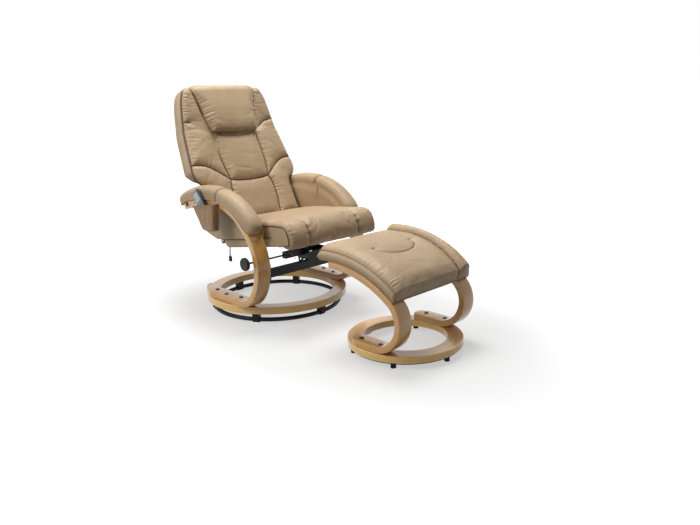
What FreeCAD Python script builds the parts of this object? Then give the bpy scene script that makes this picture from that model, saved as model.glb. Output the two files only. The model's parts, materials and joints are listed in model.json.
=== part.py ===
import FreeCAD, Part
import Sketcher
import math
import os
import re
from types import SimpleNamespace

Vector = FreeCAD.Vector
Rotation = FreeCAD.Rotation
Placement = FreeCAD.Placement
X_AXIS = Vector(1, 0, 0)
Z_AXIS = Vector(0, 0, 1)

os.makedirs("parts", exist_ok=True)
doc = FreeCAD.newDocument("Recliner")

# Driving sizes, in millimetres and degrees. The chair faces -Y and its swivel axis is the origin
# until the last step. The sitter's right hand is at -X.
SIZES = {
    # steel ring on the floor
    "tube_radius": 9.5, "tube_inset": 35, "pad_thickness": 2, "pad_rise": 4,
    "pad_width": 15, "pad_length": 34,
    # wooden ring of the chair
    "ring_outer": 330, "ring_width": 60, "ring_thickness": 32, "ring_underside": 46,
    "wood_round": 3,
    # saddles between the wooden ring and the tube
    "glide_width": 28, "glide_length": 30, "glide_wrap": 2, "glide_gap": 0.3, "ring_posts": 6,
    "post_turn": -27, "glide_screw_radius": 2, "glide_screw_head": 4, "glide_screw_head_height": 3,
    "glide_screw_bite": 18,
    # bent wood arms
    "arm_width": 68, "arm_thickness": 29, "arm_centre": 283, "foot_rear": 190, "foot_front": 131.4,
    "bolt_inset": 37, "bolt_centre_turn": 1.2, "bolt_step_turn": 17.6, "bolt_radius": 4,
    "bolt_head_radius": 9, "bolt_head_height": 3, "bolt_bite": 22, "overrun": 5,
    "pivot_from_end": 28, "pivot_radius": 5,
    # leather pads on the arms
    "pad_half_width": 38, "arm_pad_height": 56, "arm_pad_seat_gap": 0.3, "arm_pad_tail": 34,
    "arm_pad_side_height": 20,
    # leather panels inside the arms
    "panel_thickness": 12, "panel_inset": 6, "panel_slope": 9.1, "panel_foot_y": 109,
    "panel_foot_z": 334, "panel_rear_y": 250, "panel_rear_z": 398,
    # crossbar, guide and clamp
    "beam_height": 36, "beam_depth": 22, "beam_wall": 2, "beam_y": -268, "beam_top": 262,
    "end_plate_thickness": 4, "end_plate_depth": 20, "end_plate_height": 80, "beam_screw_radius": 2.5,
    "beam_screw_head": 5, "beam_screw_head_height": 2.5, "beam_screw_bite": 24,
    "rod_radius": 4, "rod_y": -235, "rod_z": 297, "rod_play": 0.05, "slot_play": 0.3,
    "bracket_left": -35, "bracket_right": 60, "bracket_wall": 4, "bracket_rear": -218,
    "bracket_web_top": 300, "bracket_cheek_top": 313,
    "clamp_tube_start": -139, "clamp_tube_height": 30, "clamp_tube_depth": 24, "clamp_tube_wall": 2,
    "bush_length": 18, "nut_radius": 8, "nut_length": 9, "spacer_radius": 8,
    # knob
    "knob_radius": 28, "knob_thickness": 15, "knob_start": -352, "knob_hub_radius": 11,
    "knob_hub_length": 10, "knob_round": 4,
    # back
    "back_tilt": 28, "back_y": 183, "back_z": 582, "back_low_width": 229, "back_bottom": 232, "core_bottom": 203,
    "core_front": 4, "core_rear": 22, "shell_wall": 6, "shell_gap": 0.3, "wing_floor": 606,
    "back_width_scale": 285, "back_length": 470, "shell_depth": 36,
    "frame_tube_radius": 8, "frame_inset": 24, "frame_top_inset": 150, "frame_bend": 60,
    "frame_depth": 30.3, "frame_bottom": 226, "frame_bar": 146,
    "lug_thickness": 5, "lug_radius": 14, "pivot_plate_thickness": 5, "pivot_plate_radius": 16,
    "hinge_y": 100, "hinge_z": 325, "hinge_pin_radius": 5, "hinge_play": 0.05, "side_play": 1,
    "web_height": 45, "web_thickness": 2, "web_step": 90, "motor_radius": 22, "motor_height": 13,
    # back cushions
    "headrest_height": 42, "cushion_height": 24, "lumbar_height": 22, "cushion_gap": 0.3,
    # seat
    "seat_tilt": 9.6, "seat_y": 53, "seat_z": 301, "casing_height": 40, "casing_half_width": 232,
    "casing_setback": 67, "casing_tail": 20, "casing_wall": 4, "casing_chamfer": 16,
    "seat_top_rear": 115, "seat_top_front": 100, "seat_rear": 18, "roll_depth": 73, "roll_reach": 493,
    "roll_nose_height": 27, "roll_under": -9, "roll_under_setback": 31, "seat_crown": 10,
    "seat_half_width": 234, "ear_half_width": 248, "ear_setback": 118, "roll_seam": 142, "seam_depth": 8,
    "seat_edge_drop": 12,
    "rail_size": 20, "rail_outer": 219, "rail_setback": 12, "rail_cross_step": 140,
    "spring_radius": 1.75, "spring_half_pitch": 22, "spring_swing": 16, "spring_spacing": 80,
    "slide_plate_thickness": 4, "slide_left": -8, "slide_right": 33, "slide_margin": 9,
    "flange_front": 312, "flange_rear": 205, "recline": 20,
    "box_length": 130, "box_width": 90, "box_height": 18,
    # lead under the seat
    "wire_radius": 1.6, "wire_x": 226, "wire_gap": 0.4, "plug_length": 24, "plug_width": 16, "plug_depth": 9,
    # pouch and handset
    "pouch_depth": 32, "pouch_wall": 2.5, "pouch_gap": 0.3, "pouch_screw_radius": 2,
    "pouch_screw_head": 4, "pouch_screw_depth": 21, "pouch_screw_head_height": 1.5, "pouch_screw_bite": 16,
    "handset_length": 183, "handset_width": 46, "handset_thickness": 18, "handset_lean": 40,
    "handset_top_y": 122, "handset_top_z": 566, "handset_x": -334, "handset_round": 5,
    "screen_length": 46, "screen_width": 34, "screen_thickness": 1.2, "screen_from_top": 10,
    "key_radius": 4.5, "key_height": 3, "key_proud": 1, "key_play": 0.3, "key_from_top": 68,
    "key_spacing": 13, "key_travel": 0.8,
    # ottoman
    "ottoman_x": -21.5, "ottoman_y": -842, "stool_ring_outer": 233, "stool_ring_width": 65,
    "stool_ring_thickness": 28.7, "stool_ring_underside": 23.1, "strip_outer": 226, "strip_inner": 206,
    "strip_thickness": 5, "stool_glide_radius": 11, "stool_glide_circle": 214, "stool_glide_turn": 29,
    "leg_width": 68, "leg_thickness": 26, "leg_centre": 192, "leg_foot_rear": 98, "leg_foot_front": 37,
    "leg_bolt_x": 196, "leg_bolt_rear": 53.6, "leg_bolt_front": 47.3, "leg_bolt_head": 9.5,
    "board_thickness": 9, "board_half_width": 222, "stool_half_width": 226, "stool_piping_width": 193,
    "stool_height": 50, "stool_crown": 14, "stool_overhang": 62,
}

# Bends of the wood, from the foot to the tip, as radius of the outer face and turn
ARM_BENDS = [(136, 55), (223, 61), (310, 49.3), (452, 41.2)]
LEG_BENDS = [(133, 71.6), (114, 74.3), (524, 36.8)]

# Back outline: height as a share of its length above the waist, half width as a share of the widest
BACK_OUTLINE_SHARES = [(0.03, 1.0), (0.185, 0.975), (0.425, 0.92), (0.55, 0.885), (0.7, 0.84),
                       (0.85, 0.79), (0.9, 0.776), (0.94, 0.737), (0.97, 0.68), (0.988, 0.62), (1.0, 0.53)]
# How far the back leans forward over its top, as a share of its length, and where that starts
BACK_NOD_SHARE = 0.09
BACK_NOD_START_SHARE = 0.55

sheet = doc.addObject("Spreadsheet::Sheet", "Sizes")
for row, (name, value) in enumerate(SIZES.items(), 1):
    sheet.set(f"A{row}", name)
    sheet.set(f"B{row}", str(value))
    sheet.setAlias(f"B{row}", name)
doc.recompute()
s = SimpleNamespace(**{name: float(sheet.get(name)) for name in SIZES})
nodes = []


# Helpers: bound objects
def on_sheet(text):
    """An expression in which every size name points at its cell."""
    return re.sub(r"[a-z][a-z_]+", lambda word: "Sizes." + word.group(), text)


def bind(item, **expressions):
    for field, text in expressions.items():
        item.setExpression(field, on_sheet(text))


def set_place(item, x="0", y="0", z="0", axis=None, turn="0"):
    """Binds the place of an object, and turns it about one axis."""
    item.Placement = Placement(Vector(), Rotation(axis or Z_AXIS, 0))
    for field, text in (("x", x), ("y", y), ("z", z)):
        item.setExpression(f".Placement.Base.{field}", on_sheet(text))
    if axis:
        item.Placement = Placement(Vector(), Rotation(axis, 1))
        item.setExpression(".Placement.Rotation.Angle", on_sheet(turn))


def keep(item, label):
    """Marks an object as a node of its own."""
    item.Label = label
    nodes.append(item)
    return item


def feature(label, shape):
    item = doc.addObject("Part::Feature", label)
    item.Shape = shape
    return keep(item, label)


def new_body(label):
    body = doc.addObject("PartDesign::Body", label)
    body.AllowCompound = True
    return keep(body, label)


def new_sketch(body, role, height=None):
    """A sketch on one of the body's own origin planes, raised along its normal."""
    sketch = body.newObject("Sketcher::SketchObject", body.Name + "_sketch")
    plane = next(item for item in body.Origin.OriginFeatures if item.Role == role)
    sketch.AttachmentSupport = [(plane, "")]
    sketch.MapMode = "FlatFace"
    if height:
        sketch.setExpression(".AttachmentOffset.Base.z", on_sheet(height))
    return sketch


def draw(sketch, *edges):
    for edge in edges:
        sketch.addGeometry(edge, False)
    return sketch


def circle(x, y, radius):
    return Part.Circle(Vector(x, y, 0), Z_AXIS, radius)


def bound_circle(sketch, radius):
    """A circle about the sketch's origin whose radius follows the sheet."""
    index = sketch.addGeometry(circle(0, 0, 1), False)
    sketch.addConstraint(Sketcher.Constraint("Coincident", index, 3, -1, 1))
    number = sketch.addConstraint(Sketcher.Constraint("Radius", index, 1))
    sketch.setExpression(f"Constraints[{number}]", on_sheet(radius))


def closed_lines(points):
    """Lines from point to point and back to the first."""
    return [Part.LineSegment(start, end) for start, end in zip(points, points[1:] + points[:1])]


def flat(points):
    return [Vector(a, b, 0) for a, b in points]


def pad(body, sketch, length, symmetric=False):
    item = body.newObject("PartDesign::Pad", body.Name + "_pad")
    item.Profile = sketch
    if symmetric:
        item.SideType = "Symmetric"
    bind(item, Length=length)
    return item


def pocket(body, sketch, length, upwards=False, symmetric=False):
    item = body.newObject("PartDesign::Pocket", body.Name + "_pocket")
    item.Profile = sketch
    item.Reversed = upwards
    if symmetric:
        item.SideType = "Symmetric"
    bind(item, Length=length)
    return item


def polar(body, original, count):
    """Repeats a feature around the body's upright axis."""
    item = body.newObject("PartDesign::PolarPattern", body.Name + "_pattern")
    item.Originals = [original]
    axis = next(part for part in body.Origin.OriginFeatures if part.Role == "Z_Axis")
    item.Axis = (axis, [""])
    item.Angle = 360
    bind(item, Occurrences=count)
    body.Tip = item
    return item


def revolve(body, sketch, axis_role="Z_Axis", cut=False):
    kind = "PartDesign::Groove" if cut else "PartDesign::Revolution"
    item = body.newObject(kind, body.Name + "_turned")
    item.Profile = sketch
    axis = next(part for part in body.Origin.OriginFeatures if part.Role == axis_role)
    item.ReferenceAxis = (axis, [""])
    item.Angle = 360
    return item


def round_edges(body, base, radius, chosen=None):
    """Rounds the edges of a feature that a test picks out, or all of them."""
    doc.recompute()
    names = [f"Edge{number}" for number, edge in enumerate(base.Shape.Edges, 1)
             if chosen is None or chosen(edge)]
    item = body.newObject("PartDesign::Fillet", body.Name + "_round")
    item.Base = (base, names)
    bind(item, Radius=radius)
    return item


def box(name, length, width, height, x, y, z):
    """A bound box: x is its middle, y and z are its lowest corner."""
    item = doc.addObject("Part::Box", name)
    bind(item, Length=length, Width=width, Height=height)
    set_place(item, f"{x} - ({length}) / 2", y, z)
    return item


def rod(name, radius, length, x, y, z, axis=None, turn="0"):
    item = doc.addObject("Part::Cylinder", name)
    bind(item, Radius=radius, Height=length)
    set_place(item, x, y, z, axis, turn)
    return item


def fuse(name, *items):
    joined = doc.addObject("Part::MultiFuse", name)
    joined.Shapes = list(items)
    return joined


def cut(name, base, tool):
    result = doc.addObject("Part::Cut", name)
    result.Base = base
    result.Tool = tool
    return result


def group(label, items):
    """Identical or belonging solids that share one node."""
    together = doc.addObject("Part::Compound", label)
    together.Links = items
    return keep(together, label)


def headed_pin(name, radius, length, head_radius, head_height, x, y, z, axis=None, turn="0"):
    """A bolt or screw: its shank starts at the given place, and its head lies behind it."""
    shank = rod(name + "_shank", radius, length, "0", "0", "0")
    head = rod(name + "_head", head_radius, head_height, "0", "0", f"-({head_height})")
    whole = fuse(name, shank, head)
    set_place(whole, x, y, z, axis, turn)
    return whole


# Helpers: free shapes
def face_of(points):
    return Part.Face(Part.makePolygon(points + points[:1]))


def wire_of(curves):
    return Part.Wire([curve.toShape() for curve in curves])


def bulged(start, end, bow):
    """An arc from start to end whose middle stands out by a vector."""
    return Part.Arc(start, (start + end) / 2 + bow, end)


def loft(wires, ruled=False):
    return Part.makeLoft(wires, True, ruled)


def mirrored(shape):
    return shape.mirror(Vector(), X_AXIS)


def placed(shape, place):
    moved = shape.copy()
    moved.Placement = place.multiply(shape.Placement)
    return moved


class BentLine:
    """The outer face of a bent strip: tangent arcs in the plane of y and z, which start flat and
    forwards at a point and curl up and back. A place on it is named by how far it has turned."""

    def __init__(self, start_y, start_z, bends):
        self.arcs = []
        y, z, turned = start_y, start_z, 0.0
        for radius, turn in bends:
            out_y, out_z = self.outward(turned)
            middle = (y - out_y * radius, z - out_z * radius)
            self.arcs.append((middle, radius, turned, turned + turn))
            turned += turn
            out_y, out_z = self.outward(turned)
            y, z = middle[0] + out_y * radius, middle[1] + out_z * radius
        self.turned = turned

    @staticmethod
    def outward(turned):
        angle = math.radians(turned)
        return -math.sin(angle), -math.cos(angle)

    def place(self, turned, offset=0.0, ahead=0.0):
        """The (y, z) place after a turn, moved outwards, and ahead along the strip's direction."""
        middle, radius = next(((m, r) for m, r, low, high in self.arcs if turned <= high + 1e-9),
                              self.arcs[-1][:2])
        out_y, out_z = self.outward(turned)
        return (middle[0] + out_y * (radius + offset) + out_z * ahead,
                middle[1] + out_z * (radius + offset) - out_y * ahead)

    def run(self, start, end, offset, point):
        """The arcs between two turns, as curves. point makes a vector from y and z."""
        curves = []
        for middle, radius, low, high in self.arcs:
            first, last = max(low, start), min(high, end)
            if last - first > 1e-9:
                curves.append(Part.Arc(*[point(*self.place(turn, offset))
                                         for turn in (first, (first + last) / 2, last)]))
        return curves


def turned_round(curves):
    """The same curves, walked backwards."""
    backwards = []
    for curve in reversed(curves):
        shape = curve.toShape()
        middle = curve.value((curve.FirstParameter + curve.LastParameter) / 2)
        backwards.append(Part.Arc(shape.Vertexes[-1].Point, middle, shape.Vertexes[0].Point))
    return backwards


def in_sketch(y, z):
    return Vector(y, z, 0)


def strip_outline(line, foot_rear, base_z, thickness):
    """The side view of a bent strip with its straight foot, as sketch curves."""
    outer = line.run(0, line.turned, 0, in_sketch)
    inner = turned_round(line.run(0, line.turned, -thickness, in_sketch))
    start = outer[0].toShape().Vertexes[0].Point
    tip = outer[-1].toShape().Vertexes[-1].Point
    inner_tip = inner[0].toShape().Vertexes[0].Point
    inner_start = inner[-1].toShape().Vertexes[-1].Point
    heel, inner_heel = in_sketch(foot_rear, base_z), in_sketch(foot_rear, base_z + thickness)
    return [Part.LineSegment(heel, start), *outer, Part.LineSegment(tip, inner_tip), *inner,
            Part.LineSegment(inner_start, inner_heel), Part.LineSegment(inner_heel, heel)]


def bent_edge(edge):
    """True for the arcs along a bent strip's sides. The straight foot follows them."""
    return edge.BoundBox.XLength < s.wood_round and edge.Curve.TypeId == "Part::GeomCircle"


# Places that several pieces share
ring_top = s.ring_underside + s.ring_thickness
tube_circle = s.ring_outer - s.tube_inset
bolt_circle = s.ring_outer - s.bolt_inset
tube_height = s.pad_thickness + s.tube_radius
arm_line = BentLine(-s.foot_front, ring_top, ARM_BENDS)
recline_y, recline_z = arm_line.place(arm_line.turned, -s.arm_thickness / 2, -s.pivot_from_end)
arm_inner = s.arm_centre - s.arm_width / 2
arm_outer = s.arm_centre + s.arm_width / 2
RING_TOP = "(ring_underside + ring_thickness)"
ARM_INNER = "(arm_centre - arm_width / 2)"


# Steel ring and its pads
def floor_ring():
    item = doc.addObject("Part::Torus", "floor_ring")
    bind(item, Radius1="ring_outer - tube_inset", Radius2="tube_radius")
    set_place(item, z="pad_thickness + tube_radius")
    keep(item, "floor_ring")


def post_at(radius, sideways=0):
    """The first post's place, as a vector in the ground plan."""
    turn = math.radians(s.post_turn)
    return Vector(radius * math.cos(turn) - sideways * math.sin(turn),
                  radius * math.sin(turn) + sideways * math.cos(turn), 0)


def post_circle(radius):
    middle = post_at(tube_circle)
    return circle(middle.x, middle.y, radius)


def round_the_posts(body, low, width, length, height):
    """A block on the tube's circle, repeated under every post."""
    inner, outer = tube_circle - width / 2, tube_circle + width / 2
    sketch = draw(new_sketch(body, "XY_Plane", low), *closed_lines([
        post_at(inner, -length / 2), post_at(outer, -length / 2),
        post_at(outer, length / 2), post_at(inner, length / 2)]))
    return polar(body, pad(body, sketch, height), "ring_posts")


def tube_groove(body, clearance):
    """Cuts the tube's own round way through a body."""
    sketch = draw(new_sketch(body, "XZ_Plane"),
                  circle(tube_circle, tube_height, s.tube_radius + clearance))
    body.Tip = revolve(body, sketch, cut=True)


def floor_pads():
    body = new_body("floor_pads")
    round_the_posts(body, "0", s.pad_width, s.pad_length, "pad_thickness + pad_rise")
    tube_groove(body, 0)


# Wooden ring and the saddles it rides on
def post_holes(body, radius, low, depth, upwards=True):
    sketch = draw(new_sketch(body, "XY_Plane", low), post_circle(radius))
    polar(body, pocket(body, sketch, depth, upwards), "ring_posts")


def foot_bolt_places(side):
    """Three bolts that follow the ring, on one side of the chair."""
    places = []
    for step in (-1, 0, 1):
        turn = math.radians(step * s.bolt_step_turn - s.bolt_centre_turn)
        places.append((side * bolt_circle * math.cos(turn), bolt_circle * math.sin(turn)))
    return places


def wood_ring():
    body = new_body("wood_ring")
    sketch = new_sketch(body, "XY_Plane", "ring_underside")
    bound_circle(sketch, "ring_outer")
    bound_circle(sketch, "ring_outer - ring_width")
    body.Tip = round_edges(body, pad(body, sketch, "ring_thickness"), "wood_round")
    bolts = [circle(x, y, s.bolt_radius) for side in (-1, 1) for x, y in foot_bolt_places(side)]
    holes = draw(new_sketch(body, "XY_Plane", RING_TOP), *bolts)
    body.Tip = pocket(body, holes, "bolt_bite")
    post_holes(body, s.glide_screw_radius, "ring_underside", "glide_screw_bite")


def glide_blocks():
    body = new_body("glide_blocks")
    low = "pad_thickness + tube_radius - glide_wrap"
    round_the_posts(body, low, s.glide_width, s.glide_length, f"ring_underside - ({low})")
    tube_groove(body, s.glide_gap)
    head_top = "pad_thickness + 2 * tube_radius + glide_gap + glide_screw_head_height"
    post_holes(body, s.glide_screw_head, "pad_thickness + tube_radius",
               f"{head_top} - pad_thickness - tube_radius")
    post_holes(body, s.glide_screw_radius, "pad_thickness + tube_radius",
               "ring_underside - pad_thickness - tube_radius")


def glide_screws():
    """Screws up through the saddles into the ring, heads clear of the tube."""
    body = new_body("glide_screws")
    seat = "pad_thickness + 2 * tube_radius + glide_gap"
    head = draw(new_sketch(body, "XY_Plane", seat), post_circle(s.glide_screw_head))
    polar(body, pad(body, head, "glide_screw_head_height"), "ring_posts")
    shank = draw(new_sketch(body, "XY_Plane", seat + " + glide_screw_head_height"),
                 post_circle(s.glide_screw_radius))
    length = f"ring_underside + glide_screw_bite - ({seat} + glide_screw_head_height)"
    polar(body, pad(body, shank, length), "ring_posts")


# Bent wood arms
def foot_trim(body, side, radius, rear, inner, base, thickness):
    """Takes off the corner of a foot that would stand out past the ring."""
    reach = radius + s.overrun
    turn = math.asin((rear + s.overrun) / radius)
    arc = Part.Arc(*[Vector(side * radius * math.cos(a), radius * math.sin(a), 0)
                     for a in (0, turn / 2, turn)])
    low, high = Vector(side * reach, 0, 0), Vector(side * reach, rear + s.overrun, 0)
    start = Vector(side * radius, 0, 0)
    end = Vector(side * radius * math.cos(turn), rear + s.overrun, 0)
    sketch = draw(new_sketch(body, "XY_Plane", base), arc, Part.LineSegment(end, high),
                  Part.LineSegment(high, low), Part.LineSegment(low, start))
    body.Tip = pocket(body, sketch, thickness + " + overrun", upwards=True)


def side_holes(body, side, places, radius, start, depth):
    """Round holes along X, from a distance off the middle plane outwards."""
    sketch = draw(new_sketch(body, "YZ_Plane", f"{side} * ({start})"),
                  *[circle(y, z, radius) for y, z in places])
    body.Tip = pocket(body, sketch, depth, upwards=side > 0)


def beam_screw_places():
    middle = s.beam_top - s.beam_height / 2
    reach = s.end_plate_height / 2 - (s.end_plate_height - s.beam_height) / 4
    return [(s.beam_y, middle - reach), (s.beam_y, middle + reach)]


POUCH_SCREW_TURNS = (182, 195)


def pouch_screw_places():
    """On the arm's outer face, under the pouch's top edge."""
    return [arm_line.place(turned, -s.pouch_screw_depth) for turned in POUCH_SCREW_TURNS]


def arm(label, side):
    body = new_body(label)
    outline = strip_outline(arm_line, s.foot_rear, ring_top, s.arm_thickness)
    sketch = draw(new_sketch(body, "YZ_Plane", f"{side} * arm_centre"), *outline)
    blank = pad(body, sketch, "arm_width", symmetric=True)
    body.Tip = round_edges(body, blank, "wood_round", bent_edge)
    foot_trim(body, side, s.ring_outer, s.foot_rear, arm_inner, RING_TOP, "arm_thickness")
    bolts = [circle(x, y, s.bolt_radius) for x, y in foot_bolt_places(side)]
    holes = draw(new_sketch(body, "XY_Plane", RING_TOP), *bolts)
    body.Tip = pocket(body, holes, "arm_thickness", upwards=True)
    side_holes(body, side, [(recline_y, recline_z)], s.pivot_radius, ARM_INNER, "arm_width")
    side_holes(body, side, beam_screw_places(), s.beam_screw_radius, ARM_INNER, "beam_screw_bite")
    if side < 0:
        start = "arm_centre + arm_width / 2 - pouch_screw_bite"
        side_holes(body, side, pouch_screw_places(), s.pouch_screw_radius, start, "pouch_screw_bite")


def arm_bolts(label, side):
    """Capped bolts through the foot into the ring."""
    bolts = []
    for number, (x, y) in enumerate(foot_bolt_places(side)):
        name = f"{label}_{number}"
        shank = rod(name + "_shank", "bolt_radius", "arm_thickness + bolt_bite", "0", "0",
                    f"{RING_TOP} - bolt_bite")
        cap = rod(name + "_cap", "bolt_head_radius", "bolt_head_height", "0", "0",
                  f"{RING_TOP} + arm_thickness")
        bolt = fuse(name, shank, cap)
        turn = math.atan2(y, x)
        bolt.Placement.Base = Vector(bolt_circle * math.cos(turn), bolt_circle * math.sin(turn), 0)
        bolts.append(bolt)
    group(label, bolts)


def recline_bolts():
    """The back's two pivots: each runs through an arm and its panel into the pivot plate."""
    bolts = []
    inner = "(back_low_width + side_play / 2)"
    for side in (-1, 1):
        bolts.append(headed_pin(
            f"recline_bolt_{side + 2}", "pivot_radius", f"arm_centre + arm_width / 2 - {inner}",
            "bolt_head_radius", "bolt_head_height", f"{side} * (arm_centre + arm_width / 2)",
            str(recline_y), str(recline_z), Vector(0, 1, 0), f"{-side} * 90"))
    return group("recline_bolts", bolts)


# Leather pads and panels on the arms
def pad_section(turned, share, ahead=0.0):
    """A cross section of an arm pad: flat on the wood, full at the sides, crowned on top."""
    half, height = s.pad_half_width * share, s.arm_pad_height * share
    side_height = s.arm_pad_side_height * share
    draw_in = half * PAD_DRAW_SHARE

    def at(across, up):
        y, z = arm_line.place(turned, s.arm_pad_seat_gap + up, ahead)
        return Vector(s.arm_centre + across, y, z)

    foot_right, foot_left = at(half - draw_in, 0), at(draw_in - half, 0)
    side_right, side_left = at(half, side_height), at(-half, side_height)
    shoulder = half - draw_in * 2
    top_right, top_left = at(shoulder, height - draw_in), at(-shoulder, height - draw_in)
    corner = half - draw_in / 2
    corner_up = (side_height + height) / 2
    return wire_of([
        Part.LineSegment(foot_left, foot_right),
        Part.Arc(foot_right, at(half - draw_in / 4, side_height / 3), side_right),
        Part.Arc(side_right, at(corner, corner_up), top_right),
        Part.Arc(top_right, at(0, height), top_left),
        Part.Arc(top_left, at(-corner, corner_up), side_left),
        Part.Arc(side_left, at(draw_in / 4 - half, side_height / 3), foot_left)])


PAD_DRAW_SHARE = 0.16
PAD_TURNS = (127, 129, 133, 140, 150, 162, 174, 184, 192, 198, 203, 206.5)
PAD_SIZE_SHARES = (0.62, 0.82, 0.96, 1.0, 1.0, 1.0, 1.0, 0.99, 0.98, 0.97, 0.96, 0.95)
PAD_TAIL_SHARES = [(0.4, 0.93), (0.7, 0.87), (0.88, 0.77), (1.0, 0.62)]


def arm_pads():
    wires = [pad_section(turned, share) for turned, share in zip(PAD_TURNS, PAD_SIZE_SHARES)]
    for ahead, share in PAD_TAIL_SHARES:
        wires.append(pad_section(PAD_TURNS[-1], share, s.arm_pad_tail * ahead))
    left = loft(wires)
    feature("arm_pad_right", mirrored(left))
    feature("arm_pad_left", left)


def arm_panel(label, side):
    """A leather-covered board against the arm's inner face, open to the clamp rod below it."""
    body = new_body(label)
    top = arm_line.run(PANEL_START_TURN, arm_line.turned, -s.panel_inset, in_sketch)
    start = top[0].toShape().Vertexes[0].Point
    end = top[-1].toShape().Vertexes[-1].Point
    slope = math.tan(math.radians(s.panel_slope))
    front = in_sketch(start.x, s.panel_foot_z + (s.panel_foot_y - start.x) * slope)
    foot = in_sketch(s.panel_foot_y, s.panel_foot_z)
    rear = in_sketch(s.panel_rear_y, s.panel_rear_z)
    belly = (foot + rear) / 2 + Vector(s.panel_thickness, -s.panel_thickness, 0)
    sketch = draw(new_sketch(body, "YZ_Plane", f"{side} * ({ARM_INNER} - panel_thickness / 2)"),
                  Part.LineSegment(front, start), *top, Part.LineSegment(end, rear),
                  Part.Arc(rear, belly, foot), Part.LineSegment(foot, front))
    body.Tip = pad(body, sketch, "panel_thickness", symmetric=True)
    side_holes(body, side, [(recline_y, recline_z)], s.pivot_radius,
               f"{ARM_INNER} - panel_thickness", "panel_thickness")


PANEL_START_TURN = 125


# Crossbar between the arms
def cross_beam():
    length = f"2 * ({ARM_INNER} - end_plate_thickness)"
    outer = box("beam_outside", length, "beam_depth", "beam_height", "0",
                "beam_y - beam_depth / 2", "beam_top - beam_height")
    inner = box("beam_inside", length + " + overrun", "beam_depth - 2 * beam_wall",
                "beam_height - 2 * beam_wall", "0", "beam_y - beam_depth / 2 + beam_wall",
                "beam_top - beam_height + beam_wall")
    keep(cut("cross_beam", outer, inner), "cross_beam")


def beam_end_plates():
    plates = []
    for side in (-1, 1):
        plate = box(f"end_plate_{side + 2}", "end_plate_thickness", "end_plate_depth",
                    "end_plate_height", f"{side} * ({ARM_INNER} - end_plate_thickness / 2)",
                    "beam_y - end_plate_depth / 2",
                    "beam_top - beam_height / 2 - end_plate_height / 2")
        holes = [rod(f"end_plate_hole_{side + 2}_{n}", "beam_screw_radius",
                     "end_plate_thickness + 2 * overrun", f"{side} * {ARM_INNER} - overrun"
                     " - end_plate_thickness / 2", str(y), str(z), Vector(0, 1, 0), "90")
                 for n, (y, z) in enumerate(beam_screw_places())]
        plates.append(cut(f"drilled_plate_{side + 2}", plate, fuse(f"plate_holes_{side + 2}", *holes)))
    group("beam_end_plates", plates)


def beam_screws():
    screws = []
    for side in (-1, 1):
        for number, (y, z) in enumerate(beam_screw_places()):
            screws.append(headed_pin(
                f"beam_screw_{side + 2}_{number}", "beam_screw_radius",
                "beam_screw_bite + end_plate_thickness", "beam_screw_head", "beam_screw_head_height",
                f"{side} * ({ARM_INNER} - end_plate_thickness)", str(y), str(z), Vector(0, 1, 0),
                f"{side} * 90"))
    group("beam_screws", screws)


# Fixed side of the seat's guide, and the clamp
def guide_bracket():
    """A bracket on the crossbar: a web at the front and a cheek at each end."""
    middle, length = "(bracket_left + bracket_right) / 2", "(bracket_right - bracket_left)"
    front = "(beam_y - beam_depth / 2)"
    web = box("bracket_web", length, "bracket_wall", "bracket_web_top - beam_top", middle, front,
              "beam_top")
    sole = box("bracket_sole", length, "beam_depth", "bracket_wall", middle, front, "beam_top")
    cheeks = [box(f"bracket_cheek_{number}", "bracket_wall", f"bracket_rear - {front}",
                  "bracket_cheek_top - beam_top", place, front, "beam_top")
              for number, place in enumerate(("bracket_left + bracket_wall / 2",
                                              "bracket_right - bracket_wall / 2"))]
    hole = rod("bracket_hole", "rod_radius + slot_play", length + " + 2 * overrun",
               "bracket_left - overrun", "rod_y", "rod_z", Vector(0, 1, 0), "90")
    keep(cut("guide_bracket", fuse("bracket_solid", web, sole, *cheeks), hole), "guide_bracket")


def clamp_tube():
    """The square tube that steadies the rod, closed against the bracket."""
    body = new_body("clamp_tube")
    half_depth, half_height = s.clamp_tube_depth / 2, s.clamp_tube_height / 2

    def frame_lines(inset):
        return closed_lines(flat([(s.rod_y + a * (half_depth - inset), s.rod_z + b * (half_height - inset))
                                  for a, b in ((-1, -1), (1, -1), (1, 1), (-1, 1))]))

    outside = draw(new_sketch(body, "YZ_Plane", "clamp_tube_start"), *frame_lines(0))
    blank = pad(body, outside, "bracket_left - clamp_tube_start")
    along = lambda edge: edge.BoundBox.XLength > s.clamp_tube_height
    body.Tip = round_edges(body, blank, "clamp_tube_wall", along)
    inside = draw(new_sketch(body, "YZ_Plane", "clamp_tube_start"), *frame_lines(s.clamp_tube_wall))
    body.Tip = pocket(body, inside, "bracket_left - clamp_tube_start", upwards=True)


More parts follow.
